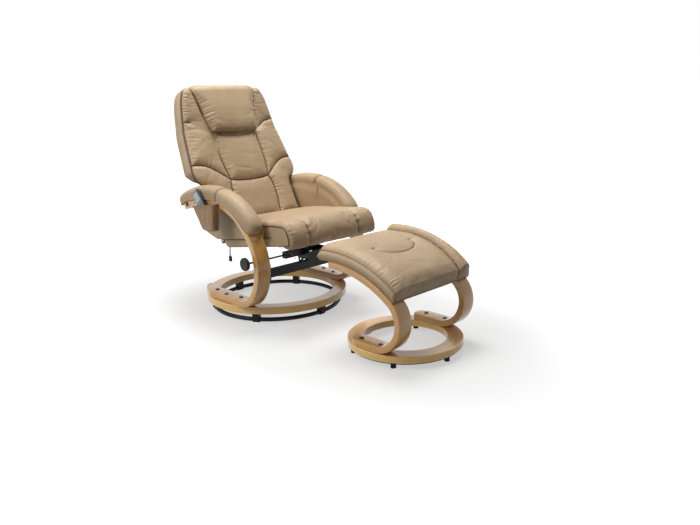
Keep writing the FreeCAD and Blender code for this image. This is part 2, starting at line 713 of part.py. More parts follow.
def clamp_bushes():
    """A bush at each end of the tube and the spacer between the sliding plates."""
    body = new_body("clamp_bushes")
    half_depth, half_height = s.clamp_tube_depth / 2, s.clamp_tube_height / 2
    corners = [(s.rod_y + a * (half_depth - s.clamp_tube_wall), s.rod_z + b * (half_height - s.clamp_tube_wall))
               for a, b in ((-1, -1), (1, -1), (1, 1), (-1, 1))]
    for start in ("clamp_tube_start", "bracket_left - bush_length"):
        sketch = draw(new_sketch(body, "YZ_Plane", start), *closed_lines(flat(corners)),
                      circle(s.rod_y, s.rod_z, s.rod_radius + s.rod_play))
        body.Tip = pad(body, sketch, "bush_length")
    inside = "slide_left + slide_plate_thickness + slot_play"
    sketch = draw(new_sketch(body, "YZ_Plane", inside), circle(s.rod_y, s.rod_z, s.spacer_radius),
                  circle(s.rod_y, s.rod_z, s.rod_radius + s.rod_play))
    body.Tip = pad(body, sketch, "slide_right - slide_left - 2 * slide_plate_thickness - 2 * slot_play")
    for start, end in (("bracket_left + bracket_wall", "slide_left - slot_play"),
                       ("slide_right + slot_play", "bracket_right - bracket_wall")):
        sketch = draw(new_sketch(body, "YZ_Plane", start), circle(s.rod_y, s.rod_z, s.spacer_radius),
                      circle(s.rod_y, s.rod_z, s.rod_radius + s.rod_play))
        body.Tip = pad(body, sketch, f"({end}) - ({start})")


def clamp_nut():
    body = new_body("clamp_nut")
    corners = [(s.rod_y + s.nut_radius * math.cos(math.radians(60 * n)),
                s.rod_z + s.nut_radius * math.sin(math.radians(60 * n))) for n in range(6)]
    sketch = draw(new_sketch(body, "YZ_Plane", "bracket_right"), *closed_lines(flat(corners)),
                  circle(s.rod_y, s.rod_z, s.rod_radius + s.rod_play))
    body.Tip = pad(body, sketch, "nut_length")


def knob():
    """A round plastic knob turned about the rod's axis, with a blind hole for the rod."""
    body = new_body("knob")
    grip = draw(new_sketch(body, "YZ_Plane", "knob_start"), circle(s.rod_y, s.rod_z, s.knob_radius))
    disc = pad(body, grip, "knob_thickness")
    body.Tip = round_edges(body, disc, "knob_round", lambda edge: edge.BoundBox.XLength < s.rod_play)
    hub = draw(new_sketch(body, "YZ_Plane", "knob_start + knob_thickness"),
               circle(s.rod_y, s.rod_z, s.knob_hub_radius))
    body.Tip = pad(body, hub, "knob_hub_length")
    hole = draw(new_sketch(body, "YZ_Plane", "knob_start + knob_thickness / 2"),
                circle(s.rod_y, s.rod_z, s.rod_radius))
    body.Tip = pocket(body, hole, "knob_thickness / 2 + knob_hub_length", upwards=True)


def knob_rod():
    start = "knob_start + knob_thickness / 2"
    item = rod("knob_rod", "rod_radius", f"bracket_right + nut_length + rod_radius - ({start})",
               start, "rod_y", "rod_z", Vector(0, 1, 0), "90")
    keep(item, "knob_rod")


# Back: its own frame has x across, y to the rear and z up along the back, from the waist
frame_half = s.back_low_width - s.frame_inset
frame_top = s.back_length - s.frame_top_inset
back_place = Placement(Vector(0, s.back_y, s.back_z), Rotation(X_AXIS, -s.back_tilt))
hinge_local = back_place.inverse().multVec(Vector(0, s.hinge_y, s.hinge_z))
pivot_local = back_place.inverse().multVec(Vector(0, recline_y, recline_z))
lug_x = frame_half + s.frame_tube_radius


def nod(up):
    """How far the back has come forward at a height above the waist."""
    share = max(0.0, up / s.back_length - BACK_NOD_START_SHARE) / (1 - BACK_NOD_START_SHARE)
    return -BACK_NOD_SHARE * s.back_length * share


def slab_section(up, half_width, front, rear):
    """A level cross section of the back, rounded at the rear corners."""
    shift = nod(up)
    bevel = (rear - front) * SLAB_BEVEL_SHARE
    at = lambda across, depth: Vector(across, depth + shift, up)
    return wire_of([
        Part.LineSegment(at(-half_width, front), at(half_width, front)),
        Part.LineSegment(at(half_width, front), at(half_width, rear - bevel)),
        bulged(at(half_width, rear - bevel), at(half_width - bevel, rear),
               Vector(bevel, bevel, 0) * SLAB_BULGE_SHARE),
        Part.LineSegment(at(half_width - bevel, rear), at(bevel - half_width, rear)),
        bulged(at(bevel - half_width, rear), at(-half_width, rear - bevel),
               Vector(-bevel, bevel, 0) * SLAB_BULGE_SHARE),
        Part.LineSegment(at(-half_width, rear - bevel), at(-half_width, front))])


SLAB_BEVEL_SHARE = 0.35
SLAB_BULGE_SHARE = 0.2


wing_start = s.back_length * BACK_OUTLINE_SHARES[0][0]


def slab(bottom, front, rear, inset=0.0):
    """A layer of the back between two depths: narrow between the arms, wide above them."""
    low = [slab_section(up, s.back_low_width - inset, front, rear)
           for up in (-bottom, wing_start + s.overrun)]
    high = []
    for up_share, width_share in BACK_OUTLINE_SHARES:
        up = s.back_length * up_share
        if up_share == BACK_OUTLINE_SHARES[-1][0]:
            up -= inset
        high.append(slab_section(up, s.back_width_scale * width_share - inset, front, rear))
    whole = placed(loft(low, ruled=True).fuse(loft(high, ruled=True)), back_place)
    span = s.back_width_scale
    for side in (-1, 1):
        corner = s.back_low_width - inset
        trim = Part.makeBox(span, 4 * span, 2 * span)
        trim.translate(Vector(corner if side > 0 else -corner - span, s.back_y - 2 * span,
                              s.wing_floor + inset - 2 * span))
        whole = whole.cut(trim)
    return whole.removeSplitter()


def back_layers():
    feature("back_core", slab(s.core_bottom, s.core_front, s.core_rear))
    rear = s.core_rear + s.shell_gap + s.shell_depth
    outside = slab(s.back_bottom, s.core_rear + s.shell_gap, rear)
    inside = slab(s.back_bottom + s.overrun, s.core_rear, rear - s.shell_wall, s.shell_wall)
    feature("back_shell", outside.cut(inside))


def back_frame():
    """A bent tube with a lug at each lower end for the seat's hinge pin."""
    half, top, bend = frame_half, frame_top, s.frame_bend
    at = lambda across, up: Vector(across, s.frame_depth, up)
    corner = bend * (1 - math.cos(math.radians(45)))
    path = wire_of([
        Part.LineSegment(at(-half, -s.frame_bottom), at(-half, top - bend)),
        Part.Arc(at(-half, top - bend), at(corner - half, top - corner), at(bend - half, top)),
        Part.LineSegment(at(bend - half, top), at(half - bend, top)),
        Part.Arc(at(half - bend, top), at(half - corner, top - corner), at(half, top - bend)),
        Part.LineSegment(at(half, top - bend), at(half, -s.frame_bottom))])
    ring = Part.Wire(Part.Circle(at(-half, -s.frame_bottom), Z_AXIS, s.frame_tube_radius).toShape())
    tube = path.makePipeShell([ring], True, False)
    bar = Part.makeCylinder(s.frame_tube_radius, 2 * half, at(-half, -s.frame_bar), X_AXIS)
    whole = tube.fuse(bar)
    lug = Part.makeCylinder(s.lug_radius, s.lug_thickness,
                            Vector(lug_x, hinge_local.y, hinge_local.z), X_AXIS)
    near, far = s.frame_depth - s.frame_tube_radius, s.frame_depth + s.frame_tube_radius
    neck_top = -s.frame_bottom + 2 * s.lug_radius
    arm_of_lug = face_of([Vector(lug_x, near, neck_top), Vector(lug_x, far, neck_top),
                          Vector(lug_x, hinge_local.y + s.lug_radius, hinge_local.z),
                          Vector(lug_x, hinge_local.y - s.lug_radius, hinge_local.z)])
    lug = lug.fuse(arm_of_lug.extrude(Vector(s.lug_thickness, 0, 0)))
    weld = Part.makeBox(s.frame_tube_radius, far - near, neck_top + s.frame_bottom,
                        Vector(half, near, -s.frame_bottom))
    lug = lug.fuse(weld)
    hole = Part.makeCylinder(s.hinge_pin_radius + s.hinge_play, 2 * s.lug_thickness,
                             Vector(lug_x - s.lug_thickness / 2, hinge_local.y, hinge_local.z), X_AXIS)
    lug = lug.cut(hole)
    whole = whole.fuse([lug, mirrored(lug)]).removeSplitter()
    feature("back_frame", placed(whole, back_place))


def back_pivot_plates():
    """Steel plates on the shell's sides that reach back to the recline bolts."""
    low_x = s.back_low_width
    shell_rear = s.core_rear + s.shell_depth - s.shell_wall
    shell_front = s.core_rear + s.shell_wall
    reach = s.pivot_plate_radius
    plate = face_of([Vector(low_x, shell_front, pivot_local.z - 3 * reach),
                     Vector(low_x, shell_rear, pivot_local.z - 3 * reach),
                     Vector(low_x, pivot_local.y, pivot_local.z - reach),
                     Vector(low_x, pivot_local.y, pivot_local.z + reach),
                     Vector(low_x, shell_rear, pivot_local.z + 3 * reach),
                     Vector(low_x, shell_front, pivot_local.z + 3 * reach)])
    solid = plate.extrude(Vector(s.pivot_plate_thickness, 0, 0))
    eye = Part.makeCylinder(reach, s.pivot_plate_thickness,
                            Vector(low_x, pivot_local.y, pivot_local.z), X_AXIS)
    hole = Part.makeCylinder(s.pivot_radius + s.hinge_play, 2 * s.pivot_plate_thickness,
                             Vector(low_x - s.pivot_plate_thickness / 2, pivot_local.y, pivot_local.z), X_AXIS)
    left = placed(solid.fuse(eye).removeSplitter().cut(hole), back_place)
    feature("back_pivot_plates", Part.makeCompound([mirrored(left), left]))


def strap_heights():
    """Middles of the webbing straps, from the lowest up."""
    count = int((frame_top + s.frame_bottom / 2) // s.web_step)
    return [s.web_step * (number - 1) for number in range(count)]


def back_webbing():
    """Flat elastic straps between the tubes, behind the foam."""
    straps = []
    half = frame_half - s.frame_tube_radius - s.cushion_gap
    for up in strap_heights():
        straps.append(Part.makeBox(2 * half, s.web_thickness, s.web_height,
                                   Vector(-half, s.frame_depth - s.web_thickness / 2, up - s.web_height / 2)))
    feature("back_webbing", placed(Part.makeCompound(straps), back_place))


def massage_motors():
    """Vibration motors on the rear of two straps."""
    front = s.frame_depth + s.web_thickness / 2
    motors = []
    for up in strap_heights()[::2][:2]:
        for side in (-1, 1):
            middle = Vector(side * frame_half / 3, front, up)
            motors.append(Part.makeCylinder(s.motor_radius, s.motor_height, middle, Vector(0, 1, 0)))
    feature("massage_motors", placed(Part.makeCompound(motors), back_place))


def inset_corners(corners, distance):
    """Moves every side of an outline inwards by a distance. The corners run anticlockwise."""
    moved = []
    for before, corner, after in zip(corners[-1:] + corners[:-1], corners, corners[1:] + corners[:1]):
        into, out = (corner - before).normalize(), (after - corner).normalize()
        inwards = Vector(-into.z, 0, into.x) + Vector(-out.z, 0, out.x)
        moved.append(corner + inwards * (distance / (1 + into.dot(out))))
    return moved


# Levels of a sewn cushion: height as a share of its height, inset as a share of its soft edge
PILLOW_SHARES = [(0.0, 0.12), (0.28, 0.0), (0.6, 0.06), (0.84, 0.27), (0.95, 0.6), (1.0, 1.0)]
SIDE_BOW_SHARE = 0.006


def pillow(outline_shares, height, soft_edge, place):
    """A sewn cushion: drawn in at its foot and along its sides, with a crowned top."""
    corners = [Vector(a * s.back_width_scale, 0, b * s.back_length) for a, b in outline_shares]
    wires = []
    for up_share, inset_share in PILLOW_SHARES:
        inset = s.cushion_gap + soft_edge * inset_share
        points = [point + Vector(0, -height * up_share, 0) for point in inset_corners(corners, inset)]
        sides = []
        for start, end in zip(points, points[1:] + points[:1]):
            across = end - start
            sides.append(bulged(start, end, Vector(-across.z, 0, across.x) * SIDE_BOW_SHARE))
        wires.append(wire_of(sides))
    return placed(loft(wires), place)


# Corners of the sewn cushions, as shares of the back's half width and of its length
HEADREST_SHARES = [(-0.40, 0.565), (0.40, 0.565), (0.58, 0.985), (-0.58, 0.985)]
CENTRE_SHARES = [(-0.38, 0.0), (0.38, 0.0), (0.41, 0.54), (-0.41, 0.54)]
WING_SHARES = [(0.384, 0.003), (0.972, 0.182), (0.862, 0.645), (0.415, 0.542)]
CROWN_WING_SHARES = [(0.405, 0.564), (0.858, 0.675), (0.79, 0.84), (0.725, 0.94), (0.587, 0.982)]
LUMBAR_SHARES = [(-0.795, -0.392), (0.795, -0.392), (0.795, 0.118), (0.38, -0.006), (-0.38, -0.006),
                 (-0.795, 0.118)]
LUMBAR_EAR_SHARES = [(0.803, 0.075), (0.98, 0.075), (0.97, 0.17), (0.803, 0.12)]


def back_cushions():
    rest = placed_front(0)
    nod_turn = math.degrees(math.atan(BACK_NOD_SHARE / (1 - BACK_NOD_START_SHARE)))
    leaning = placed_front(nod_turn)
    soft, small = s.cushion_height * 1.3, s.cushion_height * 0.4
    feature("centre_pad", pillow(CENTRE_SHARES, s.cushion_height, soft * 1.3, rest))
    core = slab(s.core_bottom, s.core_front, s.core_rear + s.shell_depth)
    core.translate(rest.multVec(Vector(0, -s.cushion_gap, 0)) - rest.multVec(Vector()))
    low = pillow(WING_SHARES, s.cushion_height, soft, rest).cut(core)
    high = pillow(CROWN_WING_SHARES, s.cushion_height * 0.8, soft * 0.7, leaning)
    feature("wing_pads", Part.makeCompound([low, mirrored(low), high, mirrored(high)]))
    waist = pillow(LUMBAR_SHARES, s.lumbar_height, soft, rest)
    ear = pillow(LUMBAR_EAR_SHARES, s.lumbar_height * 0.7, small, rest)
    feature("lumbar_pad", Part.makeCompound([waist, ear, mirrored(ear)]))
    feature("headrest_pillow", pillow(HEADREST_SHARES, s.headrest_height, soft * 1.8, leaning))


def placed_front(forward_turn):
    """The front of the foam core, or its upper part that leans forward by a turn."""
    lift = s.back_length * BACK_NOD_START_SHARE if forward_turn else 0.0
    skin = s.core_front - s.cushion_gap
    bend = Placement(Vector(0, skin, lift), Rotation(X_AXIS, forward_turn))
    return back_place.multiply(bend).multiply(Placement(Vector(0, 0, -lift), Rotation()))


# Seat: its own frame has y to the rear and z up from the casing's bottom, at the rear edge
casing_length = s.roll_reach - s.casing_setback
roll_start = s.roll_reach - s.roll_depth
rail_front = casing_length - s.rail_setback
seat_place = Placement(Vector(0, s.seat_y, s.seat_z), Rotation(X_AXIS, -s.seat_tilt))
rod_local = seat_place.inverse().multVec(Vector(0, s.rod_y, s.rod_z))
seat_hinge = seat_place.inverse().multVec(Vector(0, s.hinge_y, s.hinge_z))
hinge_plate_x = lug_x + s.lug_thickness + s.side_play


def seat_casing():
    """An open tray under the cushion, notched at the rear for the hinge plates."""
    def side_view(inset, above):
        return [Vector(0, -inset, inset), Vector(0, s.casing_tail - inset, s.casing_chamfer + inset),
                Vector(0, s.casing_tail - inset, s.casing_height + above),
                Vector(0, inset - casing_length, s.casing_height + above),
                Vector(0, inset - casing_length, inset)]

    half, wall = s.casing_half_width, s.casing_wall
    outside = face_of(side_view(0, 0)).extrude(Vector(2 * half, 0, 0))
    inside = face_of(side_view(wall, s.overrun)).extrude(Vector(2 * (half - wall), 0, 0))
    outside.translate(Vector(-half, 0, 0))
    inside.translate(Vector(wall - half, 0, 0))
    tray = outside.cut(inside)
    for side in (-1, 1):
        start = hinge_plate_x - s.side_play if side > 0 else -hinge_plate_x - s.lug_thickness - s.side_play
        notch = Part.makeBox(s.lug_thickness + 2 * s.side_play, casing_length, s.casing_height,
                             Vector(start, 0, wall + s.side_play))
        notch.translate(Vector(0, -2 * wall, 0))
        tray = tray.cut(notch)
    feature("seat_casing", placed(tray, seat_place))


def seat_frame():
    """Square rails on the casing's floor: two along the sides and cross rails between them."""
    size, outer, floor = s.rail_size, s.rail_outer, s.casing_wall
    rear = -s.casing_wall - s.side_play
    rails = [Part.makeBox(size, rail_front + rear, size, Vector(x, -rail_front, floor))
             for x in (-outer, outer - size)]
    y = -rail_front
    while y < 0:
        rails.append(Part.makeBox(2 * (outer - size), size, size, Vector(size - outer, y, floor)))
        y += s.rail_cross_step
    whole = rails[0].fuse(rails[1:]).removeSplitter()
    feature("seat_frame", placed(whole, seat_place))


def seat_springs():
    """Zigzag wire springs, from the front cross rail to the last one."""
    height = s.casing_wall + s.rail_size + s.spring_radius
    springs = []
    span = rail_front - s.rail_cross_step + s.rail_size
    count = int(span // s.spring_half_pitch)
    for column in (-2, -1, 0, 1, 2):
        middle = column * s.spring_spacing
        curves = []
        y = -rail_front + s.rail_size / 2
        for number in range(count):
            start = Vector(middle, y, height)
            end = Vector(middle, y + s.spring_half_pitch, height)
            swing = s.spring_swing if number % 2 else -s.spring_swing
            curves.append(bulged(start, end, Vector(swing * 0.6, 0, 0)))
            y += s.spring_half_pitch
        path = wire_of(curves)
        first = curves[0]
        tangent = first.tangent(first.FirstParameter)[0]
        ring = Part.Wire(Part.Circle(Vector(middle, -rail_front + s.rail_size / 2, height), tangent,
                                     s.spring_radius).toShape())
        springs.append(path.makePipeShell([ring], True, False, 1))
    feature("seat_springs", placed(Part.makeCompound(springs), seat_place))


def seat_profile(x, drop=0.0, seam=0.0, crown=0.0, rear=None):
    """The seat cushion's side view at one x: drop lowers its top, seam draws the roll in."""
    rear = s.seat_rear if rear is None else rear
    at = lambda back, up: Vector(x, back, up)
    foot = s.casing_height + s.cushion_gap
    wrap = casing_length + s.cushion_gap
    top_rear = s.seat_top_rear + (s.seat_top_front - s.seat_top_rear) * (s.seat_rear - rear) \
        / (s.seat_rear + roll_start)
    nose = drop * 0.5 + seam
    under = min(drop * 0.5 + seam, s.seat_edge_drop)
    a, b = at(rear, foot), at(rear, top_rear - drop)
    c = at(-roll_start, s.seat_top_front - drop - seam * 0.5)
    d = at(nose - s.roll_reach, s.roll_nose_height)
    e = at(under - (s.roll_reach - s.roll_under_setback), s.roll_under + under * 0.5)
    f, g = at(-wrap, s.roll_under + under * 0.5), at(-wrap, foot)
    return wire_of([
        Part.LineSegment(a, b), bulged(b, c, Vector(0, 0, crown + s.seat_crown * 0.2)),
        bulged(c, d, Vector(0, -1, 1) * s.seat_top_front * 0.12),
        bulged(d, e, Vector(0, -1, -1) * s.seat_edge_drop * 0.4),
        Part.LineSegment(e, f), Part.LineSegment(f, g), Part.LineSegment(g, a)])


def seat_cushion():
    """Three lofts side by side: the seams across the roll lie where they meet. An ear at each side
    carries the roll out in front of the arms."""
    seam, edge, half = s.roll_seam, s.seat_edge_drop, s.seat_half_width
    middle = loft([seat_profile(-seam, edge * 0.1, s.seam_depth, s.seat_crown * 0.6),
                   seat_profile(-seam * 0.85, 0, s.seam_depth * 0.15, s.seat_crown * 0.8),
                   seat_profile(0, 0, 0, s.seat_crown),
                   seat_profile(seam * 0.85, 0, s.seam_depth * 0.15, s.seat_crown * 0.8),
                   seat_profile(seam, edge * 0.1, s.seam_depth, s.seat_crown * 0.6)])
    outer = loft([seat_profile(seam, edge * 0.1, s.seam_depth, s.seat_crown * 0.6),
                  seat_profile(seam * 1.13, edge * 0.1, s.seam_depth * 0.15, s.seat_crown * 0.5),
                  seat_profile(half - edge, edge * 0.2, 0, s.seat_crown * 0.2),
                  seat_profile(half, edge, 0, 0)])
    ear = loft([seat_profile(half - edge, edge * 0.2, 0, 0, s.ear_setback - s.roll_reach),
                seat_profile(s.ear_half_width - edge * 0.6, edge * 0.4, 0, 0, s.ear_setback - s.roll_reach),
                seat_profile(s.ear_half_width, edge * 1.5, 0, 0, s.ear_setback - s.roll_reach)])
    side = outer.fuse(ear)
    whole = middle.fuse([side, mirrored(side)])
    feature("seat_cushion", placed(whole, seat_place))


def travel(turn):
    """How far the seat has moved, as (y, z), when the back has reclined by a turn."""
    angle = math.radians(turn)
    y, z = s.hinge_y - recline_y, s.hinge_z - recline_z
    return (y * math.cos(angle) + z * math.sin(angle) - y, z * math.cos(angle) - y * math.sin(angle) - z)


def slide_plates():
    """A folded bracket under the casing whose cheeks are slotted for the clamp rod. The slot is
    the path that the rod takes past the moving seat."""
    path = []
    for turn in (0, s.recline / 2, s.recline):
        y, z = travel(turn)
        path.append(seat_place.inverse().multVec(Vector(0, s.rod_y - y, s.rod_z - z)))
    radius = s.rod_radius + s.slot_play
    start, middle, end = path
    along = (end - start).normalize()
    side = Vector(0, -along.z, along.y) * radius
    slot = Part.Face(wire_of([
        Part.Arc(start + side, middle + side, end + side),
        Part.Arc(end + side, end + along * radius, end - side),
        Part.Arc(end - side, middle - side, start - side),
        Part.Arc(start - side, start - along * radius, start + side)]))
    width = s.slide_right - s.slide_left
    slot = slot.extrude(Vector(width + 2 * s.overrun, 0, 0))
    slot.translate(Vector(s.slide_left - s.overrun, 0, 0))
    rim = radius + s.slide_margin
    ahead = Vector(0, -along.z, along.y).normalize() * rim
    if ahead.y > 0:
        ahead = ahead * -1
    cheek = face_of([Vector(0, -s.flange_front, 0), start + ahead - along * rim * 0.3,
                     end + ahead + along * rim * 0.4, end + along * rim, end - ahead + along * rim * 0.4,
                     Vector(0, -s.flange_rear, (end - ahead).z / 2), Vector(0, -s.flange_rear, 0)])
    thick = s.slide_plate_thickness
    cheeks = []
    for x in (s.slide_left, s.slide_right - thick):
        solid = cheek.extrude(Vector(thick, 0, 0))
        solid.translate(Vector(x, 0, 0))
        cheeks.append(solid)
    flange = Part.makeBox(width, s.flange_front - s.flange_rear, thick,
                          Vector(s.slide_left, -s.flange_front, -thick))
    whole = flange.fuse(cheeks).cut(slot).removeSplitter()
    feature("slide_plates", placed(whole, seat_place))


def seat_hinge_plates():
    """Plates on the rails' outer sides that reach back to the hinge pins."""
    thick, radius = s.lug_thickness, s.lug_radius
    x = hinge_plate_x
    floor = s.casing_wall + s.side_play
    top = s.casing_wall + s.rail_size
    plate = face_of([Vector(x, -4 * radius, floor), Vector(x, 0, floor),
                     Vector(x, s.casing_tail - s.casing_wall, s.casing_chamfer + floor),
                     Vector(x, seat_hinge.y, seat_hinge.z - radius),
                     Vector(x, seat_hinge.y, seat_hinge.z + radius),
                     Vector(x, 0, top + radius / 2), Vector(x, -4 * radius, top)])
    solid = plate.extrude(Vector(thick, 0, 0))
    eye = Part.makeCylinder(radius, thick, Vector(x, seat_hinge.y, seat_hinge.z), X_AXIS)
    hole = Part.makeCylinder(s.hinge_pin_radius, 2 * thick,
                             Vector(x - thick / 2, seat_hinge.y, seat_hinge.z), X_AXIS)
    roof = Part.makeBox(3 * thick, 8 * radius, 2 * radius,
                        Vector(x - thick, -4 * radius, s.casing_height - s.side_play))
    roof.translate(Vector(0, -4 * radius + s.seat_rear + s.side_play, 0))
    left = placed(solid.fuse(eye).removeSplitter().cut(hole).cut(roof), seat_place)
    feature("seat_hinge_plates", Part.makeCompound([mirrored(left), left]))


def hinge_pins():
    """Pins at the seat's hinge, headed on the inside."""
    pins = []
    for side in (-1, 1):
        pins.append(headed_pin(
            f"hinge_pin_{side + 2}", "hinge_pin_radius", "2 * lug_thickness + 3 * side_play",
            "hinge_pin_radius + 3 * side_play", "2 * side_play",
            f"{side} * (back_low_width - frame_inset + frame_tube_radius - side_play)",
            "hinge_y", "hinge_z", Vector(0, 1, 0), f"{side} * 90"))
    group("hinge_pins", pins)


def control_box():
    """The massage controller, on the casing's floor between the cross rails."""
    place = Vector(-s.box_length / 2, -rail_front + s.rail_size + (s.rail_cross_step - s.rail_size
                   - s.box_width) / 2 + s.rail_cross_step, s.casing_wall)
    blank = Part.makeBox(s.box_length, s.box_width, s.box_height, place)
    feature("control_box", placed(blank.makeFillet(s.wood_round, blank.Edges), seat_place))


# Lead that hangs under the seat's rear: two short wires into one connector
exit_top = seat_place.multVec(Vector(-s.wire_x, -s.casing_chamfer * 0.5, 0))
WIRE_FRONT = [Vector(0, -4.5, 0), Vector(-0.5, -5.2, -14), Vector(0.6, -3.4, -28), Vector(0, -2.6, -41)]
WIRE_REAR = [Vector(0, 5.5, 0), Vector(0.5, 6.2, -14), Vector(-0.6, 4.2, -28), Vector(0, 2.6, -41)]


def corded(points, radius):
    """A tube of straight runs joined by tangent arcs. Prints the arcs' radii."""
    edges = []
    start = points[0]
    radii = []
    for before, corner, after in zip(points, points[1:], points[2:]):
        into, out = (corner - before), (after - corner)
        shorter = min(into.Length, out.Length)
        turn = into.getAngle(out)
        take = 0.45 * shorter
        into.normalize()
        out.normalize()
        first, last = corner - into * take, corner + out * take
        bend = take / math.tan(turn / 2)
        radii.append(round(bend, 1))
        toward = (out - into).normalize()
        middle = corner + toward * (math.hypot(bend, take) - bend)
        edges.append(Part.LineSegment(start, first).toShape())
        edges.append(Part.Arc(first, middle, last).toShape())
        start = last
    edges.append(Part.LineSegment(start, points[-1]).toShape())
    path = Part.Wire(edges)
    ring = Part.Wire(Part.Circle(points[0], points[1] - points[0], radius).toShape())
    tube = path.makePipeShell([ring], True, False)
    print("cord radii", radii, "length", round(path.Length, 2), "volume share",
          round(tube.Volume / (math.pi * radius ** 2 * path.Length), 4))
    return tube


def pigtail():
    for label, route in (("pigtail_wire_front", WIRE_FRONT), ("pigtail_wire_rear", WIRE_REAR)):
        points = [exit_top + step for step in route]
        points[0] = seat_place.multVec(Vector(points[0].x, seat_place.inverse().multVec(points[0]).y,
                                            -s.wire_gap))
        feature(label, corded(points, s.wire_radius))
    bottom = exit_top + WIRE_FRONT[-1]
    plug = Part.makeBox(s.plug_depth, s.plug_width, s.plug_length,
                        Vector(exit_top.x - s.plug_depth / 2, exit_top.y - s.plug_width / 2,
                               bottom.z - s.plug_length - s.wire_gap / 2))
    feature("pigtail_connector", plug.makeFillet(s.wire_radius, plug.Edges))


# Pouch on the right arm, and the handset in it. Corners as (y, z) of the pouch's side view
POUCH_CORNERS = [(139, 497), (-28, 522), (-20, 414), (64, 403)]


def pouch():
    """A flat leather pouch, open along its top edge."""
    outer_x = -arm_outer - s.pouch_gap
    corners = [Vector(0, y, z) for y, z in POUCH_CORNERS]
    outside = face_of(corners).extrude(Vector(-s.pouch_depth, 0, 0))
    outside.translate(Vector(outer_x, 0, 0))
    middle = sum(corners, Vector()) / len(corners)
    hollow = []
    for number, corner in enumerate(corners):
        inwards = middle - corner
        inwards.normalize()
        if number < 2:
            slide_in = Vector(0, math.copysign(s.pouch_wall * 1.6, inwards.y), 0)
            hollow.append(corner + slide_in + Vector(0, 0, s.overrun))
        else:
            hollow.append(corner + inwards * s.pouch_wall * 1.6)
    inside = face_of(hollow).extrude(Vector(2 * s.pouch_wall - s.pouch_depth, 0, 0))
    inside.translate(Vector(outer_x - s.pouch_wall, 0, 0))
    bag = outside.cut(inside)
    for y, z in pouch_screw_places():
        bag = bag.cut(Part.makeCylinder(s.pouch_screw_radius, 2 * s.pouch_wall,
                                        Vector(outer_x + s.pouch_wall / 2 - 2 * s.pouch_wall, y, z), X_AXIS))
    feature("pouch", bag)


def pouch_screws():
    screws = []
    for number, (y, z) in enumerate(pouch_screw_places()):
        screws.append(headed_pin(
            f"pouch_screw_{number}", "pouch_screw_radius", "pouch_screw_bite + pouch_wall + pouch_gap",
            "pouch_screw_head", "pouch_screw_head_height",
            "-(arm_centre + arm_width / 2 + pouch_gap + pouch_wall)", str(y), str(z),
            Vector(0, 1, 0), "90"))
    group("pouch_screws", screws)


# Handset: its own frame has z up along its length from its top edge and x outwards from the chair
handset_place = Placement(Vector(s.handset_x, s.handset_top_y, s.handset_top_z),
                          Rotation(X_AXIS, -s.handset_lean))


def handset_shell():
    half_width, half_thick = s.handset_width / 2, s.handset_thickness / 2
    blank = Part.makeBox(s.handset_thickness, s.handset_width, s.handset_length,
                         Vector(-half_thick, -half_width, -s.handset_length))
    blank = blank.makeFillet(s.handset_round, blank.Edges)
    recess = Part.makeBox(s.screen_thickness, s.screen_width, s.screen_length,
                          Vector(-half_thick, -s.screen_width / 2, -s.screen_from_top - s.screen_length))
    shell = blank.cut(recess)
    depth = s.key_height - s.key_proud + s.key_travel + s.key_play
    for up in key_heights():
        shell = shell.cut(Part.makeCylinder(s.key_radius + s.key_play, depth,
                                            Vector(-half_thick, 0, up), X_AXIS))
    feature("handset_shell", placed(shell, handset_place))


def key_heights():
    return [-s.key_from_top - number * s.key_spacing for number in range(3)]


def handset_screen():
    plate = Part.makeBox(s.screen_thickness, s.screen_width, s.screen_length,
                         Vector(-s.handset_thickness / 2, -s.screen_width / 2,
                                -s.screen_from_top - s.screen_length))
    feature("handset_screen", placed(plate, handset_place))


def handset_keys():
    outside = -s.handset_thickness / 2 - s.key_proud
    for label, up in zip(("key_power", "key_mode", "key_level"), key_heights()):
        key = Part.makeCylinder(s.key_radius, s.key_height, Vector(outside, 0, up), X_AXIS)
        feature(label, placed(key, handset_place))


# Ottoman: built about its own middle
stool_top = s.stool_ring_underside + s.stool_ring_thickness
leg_line = BentLine(-s.leg_foot_front, stool_top, LEG_BENDS)
STOOL_TOP = "(stool_ring_underside + stool_ring_thickness)"


def at_ottoman(item):
    set_place(item, "ottoman_x", "ottoman_y", "0")


def ottoman_base():
    ring = new_body("ottoman_ring")
    sketch = new_sketch(ring, "XY_Plane", "stool_ring_underside")
    bound_circle(sketch, "stool_ring_outer")
    bound_circle(sketch, "stool_ring_outer - stool_ring_width")
    ring.Tip = round_edges(ring, pad(ring, sketch, "stool_ring_thickness"), "wood_round")
    holes = draw(new_sketch(ring, "XY_Plane", STOOL_TOP),
                 *[circle(x, y, s.bolt_radius) for side in (-1, 1) for x, y in leg_bolt_places(side)])
    ring.Tip = pocket(ring, holes, "bolt_bite")
    at_ottoman(ring)
    strip = new_body("ottoman_strip")
    sketch = new_sketch(strip, "XY_Plane", "stool_ring_underside - strip_thickness")
    bound_circle(sketch, "strip_outer")
    bound_circle(sketch, "strip_inner")
    strip.Tip = pad(strip, sketch, "strip_thickness")
    at_ottoman(strip)
    glides = new_body("ottoman_glides")
    turn = math.radians(s.stool_glide_turn)
    sketch = draw(new_sketch(glides, "XY_Plane"),
                  circle(s.stool_glide_circle * math.cos(turn), s.stool_glide_circle * math.sin(turn),
                         s.stool_glide_radius))
    polar(glides, pad(glides, sketch, "stool_ring_underside - strip_thickness"), "ring_posts")
    at_ottoman(glides)


def leg_bolt_places(side):
    return [(side * s.leg_bolt_x, s.leg_bolt_rear), (side * s.leg_bolt_x, -s.leg_bolt_front)]


